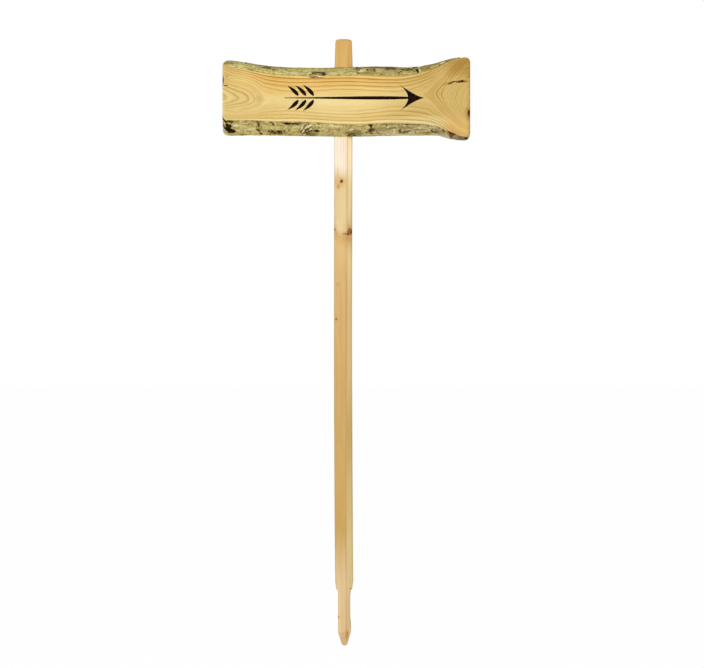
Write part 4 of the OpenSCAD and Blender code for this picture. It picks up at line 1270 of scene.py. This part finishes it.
def makePost():
    rings = readPost()
    rows, n = rings.shape[:2]
    points = rings.reshape(-1, 3)
    points = np.concatenate([points, [points[:n].mean(0), points[-n:].mean(0)]])
    faces = tubeFaces(rows, n)
    for k in range(n):
        for row, middle in ((0, rows * n), (rows - 1, rows * n + 1)):
            faces.append([row * n + k, row * n + (k + 1) % n, middle])
    # Planed faces: a trace of waviness, and arrises that were knocked here and there
    out = points * (1, 1, 0)
    reach = np.maximum(np.linalg.norm(out, axis=1, keepdims=True), 1)
    knocks = smooth(24, 29, reach[:, 0]) * np.maximum(0, ripple(points, *post["knocks"]) - 0.15)
    points = points + out / reach * (ripple(points, *post["planed"]) - knocks * post["knocked"])[:, None]
    x, z = points[:, 0].copy(), points[:, 2].copy()
    # The top is worn round, and the tongue's right cheek was cut a little deeper
    points[:, 2] += smooth(1350, 1366, z) * (0.9 - 3.2 * np.abs(x / post["half"]) ** 2.5)
    points[:, 0] -= 1.2 * smooth(9, 14, x) * smooth(-6, -12, z) * smooth(-86, -66, z)
    points[:, 0] += curveThrough(post["bow"], points[:, 2])
    obj = meshObject("signPost", points, faces)
    past = post["half"] + cutterReach
    head, bore = screwRadius + screws["headGap"], threadRadius + screws["boreGap"]
    seat = screwHigh[1] - screws["pastSeat"]  # the heads' flat tops lie just behind it
    profile = [(head, past), (head, seat), (bore, seat - (head - bore)), (bore, -past)]
    carve(obj, [roundCutter("screwHole", profile, 0, z) for z in screwHeights])
    setPostValues(obj)
    return obj


def setPostValues(obj):
    points = pointsOf(obj)
    x, y, z = points.T
    x = x - curveThrough(post["bow"], z)
    half = post["half"]
    px, py = post["pith"]
    drift = ripple(stacked(0, 0, z), *post["drift"])
    rings = np.hypot(x - px, y - py + drift) / post["ring"]
    stain = np.zeros(len(x))
    uneven = ripple(points, *post["stainEdge"])
    for (kx, ky, kz), radius, darkness, bend in postKnots:
        # A branch: from the pith out to its place on the surface, rising a little
        length = math.hypot(kx - px, ky - py)
        ax, ay = (kx - px) / length, (ky - py) / length
        out = (x - px) * ax + (y - py) * ay
        side = (x - px) * ay - (y - py) * ax
        rise = z - (kz + 0.12 * (out - length))
        r = radius * np.clip(out / length, 0.2, 1.1)
        ahead = smooth(0, 8, out)
        d = np.hypot(side, rise * 0.9) / r + uneven * 0.5
        stain = np.maximum(stain, darkness * smooth(1.25, 0.7, d) * ahead)
        stain = np.maximum(stain, 0.35 * darkness * hill(side / (1.8 * r), rise / (3.4 * r)) * ahead)
        rings = rings + bend * hill(side / (1.9 * r), rise / (4.5 * r)) * ahead
    rings += ripple(points, *post["wander"])
    for sx, sz, along, up, strength in postStains:
        d = np.hypot((x - sx) / along, (z - sz) / up) + uneven
        stain = np.maximum(stain, strength * smooth(1.5, 0.4, d) * (y < -10))
    # The wane: a natural bevel down the front right arris, wider towards the foot
    slope = math.radians(post["waneSlope"])
    along = x - half + np.interp(z, [0, postHigh[2]], post["waneWidth"])
    offPlane = along * math.sin(slope) - (y + half) * math.cos(slope)
    wane = smooth(1.3, 0.4, np.abs(offPlane)) * smooth(0, 2, along) * (y < 0)
    # Its paleness is partly painted light against the shade of its slope
    wane *= curveThrough(post["wanePaleAndLit"], z)
    # A dark line down the crease between the front and the wane: painted shade, stronger in the middle of the
    # post
    clear = 1 + 0.8 * smooth(480, 540, z) * smooth(810, 760, z)
    waneLine = clear * np.exp(-((along - 0.6) / 1.5) ** 2) * (y < -15)
    # Darker arrises, right edge of the front and rim of the top: painted shade where they turn from the light
    near = np.maximum(np.minimum(np.abs(x), np.abs(y)), (x + 1) * (y < -6) * (x > 0))
    crown = 2 * smooth(1360, 1365, z + 3 * np.abs(x / half) ** 2.5)
    arris = np.maximum(smooth(half - 3.4, half - 1.0, near), crown)
    setValues(obj, rings=rings, stain=stain, wane=wane, waneLine=waneLine, arris=arris)


# Planed spruce under the same oil: close straight grain, a painted highlight paling it below the
# board, warmer towards the top; knots red-brown with dark rims
postLook = {
    # Colours of the wood and of the wane, from the foot (0) to the top (1); the pale stretch just below the
    # board is a painted highlight
    "tones": [(0.0, "DFC08E"), (0.11, "DDC497"), (0.195, "C39E5B"), (0.42, "C6A265"), (0.62, "CBA76D"),
              (0.66, "D0AF78"), (0.679, "C4A05E"), (0.689, "D8C192"), (0.772, "D6BB89"), (0.795, "EDE0CF"),
              (0.9, "E9DAC4"), (0.93, "D2AA66"), (1.0, "C69E57")],
    # The wane's colours: its own yellower wood, lightened as painted light against the shade of its slope,
    # brightest below the board as a painted highlight
    "wane": [(0.0, "DAC58A"), (0.62, "E1C890"), (0.74, "F0D8A0"), (0.82, "FFE6B0"), (0.93, "E6C07A")],
    "tilt": 0.4, "ragged": 16,  # the tones' borders: slope across the post, unevenness in millimetres
    # Each with how much of it shows
    "summerwood": ("C1934F", 0.24), "arris": ("A5925F", 0.36), "waneLine": ("B58845", 0.47),
    "halo": "B98C48", "knot": "7E4520", "stain": "1E0F06",
    "fibre": (3.2, 3.2, 90), "streak": (9, 9, 220),  # sizes across, through and up, millimetres
    "roughness": 0.5, "ior": 1.5, "gloss": 0.2, "bump": (0.25, 0.3),
}


def postMaterial():
    look = postLook
    material, add, rings, stain, wane, waneLine, arris = newMaterial(
        "planedSpruce", "rings", "stain", "wane", "waneLine", "arris")
    place = add("TexCoord").outputs["Object"]
    fibres = add("Mapping", named={"Vector": place, "Scale": patternScale(look["fibre"])})
    fibres = add("TexNoise", fibres, 1.0, 4.0, 0.6)
    streaks = add("Mapping", named={"Vector": place, "Scale": patternScale(look["streak"])})
    streaks = add("TexNoise", streaks, 1.0)
    at = add("SeparateXYZ", place)
    height = add("Math", at.outputs["X"], look["tilt"], at.outputs["Z"], operation="MULTIPLY_ADD")
    height = add("Math", streaks, look["ragged"] * mm, height, operation="MULTIPLY_ADD")
    height = add("MapRange", height, postLow[2] * mm, postHigh[2] * mm)
    colour = add("ValToRGB", height, stops=look["tones"])
    colour = toned(add, colour, streaks, [(0.35, "EBDABB"), (0.6, "FFFFFF")], 0.35)

    # Each ring darkens to a line, which the fibres make a little ragged
    wave = add("Math", fibres, 0.2, rings, operation="MULTIPLY_ADD")
    age = add("Math", wave, operation="FRACT")
    line = add("ValToRGB", age, stops=[
        (0.0, 0.6), (0.12, 0.05), (0.5, 0.0), (0.8, 0.5), (0.94, 1.0), (1.0, 1.0)])
    shade, share = look["summerwood"]
    faint = add("Math", line, share, operation="MULTIPLY")
    colour = add("Mix", faint, colour, shade)
    colour = toned(add, colour, fibres, [(0.25, 0.84), (0.5, 0.97), (0.72, 1.0)], 0.85)
    colour = add("Mix", wane, colour, add("ValToRGB", height, stops=look["wane"]))
    # Painted shade: darker arrises, and a dark line in the wane's crease
    for value, key in ((arris, "arris"), (waneLine, "waneLine")):
        shade, share = look[key]
        colour = add("Mix", add("Math", value, share, operation="MULTIPLY"), colour, shade)
    for key, start, full in (("halo", 0.0, 0.4), ("knot", 0.3, 0.65), ("stain", 0.7, 1.0)):
        colour = tinted(add, colour, stain, start, full, look[key])
    coat(add, look, colour, add("Math", faint, fibres, operation="ADD"))
    return material


signPost = makePost()
addPiece(signPost, postMaterial(), ["post"])
print("post ready", len(signPost.data.polygons), "faces")


# Zinc-plated steel screws: bright with a faint blue cast, fine turning marks
screwLook = {"zinc": "C9CCCF", "dull": "9A9DA2", "grit": 0.8, "metallic": 1.0, "roughness": 0.32,
             "bump": (0.15, 0.1)}


def screwMaterial():
    look = screwLook
    material, add = newMaterial("zincPlatedSteel")
    place = add("TexCoord").outputs["Object"]
    grit = add("TexNoise", place, patternScale(look["grit"]), 3.0)
    colour = add("ValToRGB", grit, stops=[(0.35, look["dull"]), (0.6, look["zinc"])])
    coat(add, look, colour, grit)
    return material


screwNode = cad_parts["fixing_screws"]
screwNode.data.materials.clear()
screwNode.data.materials.append(screwMaterial())
print("screws ready")
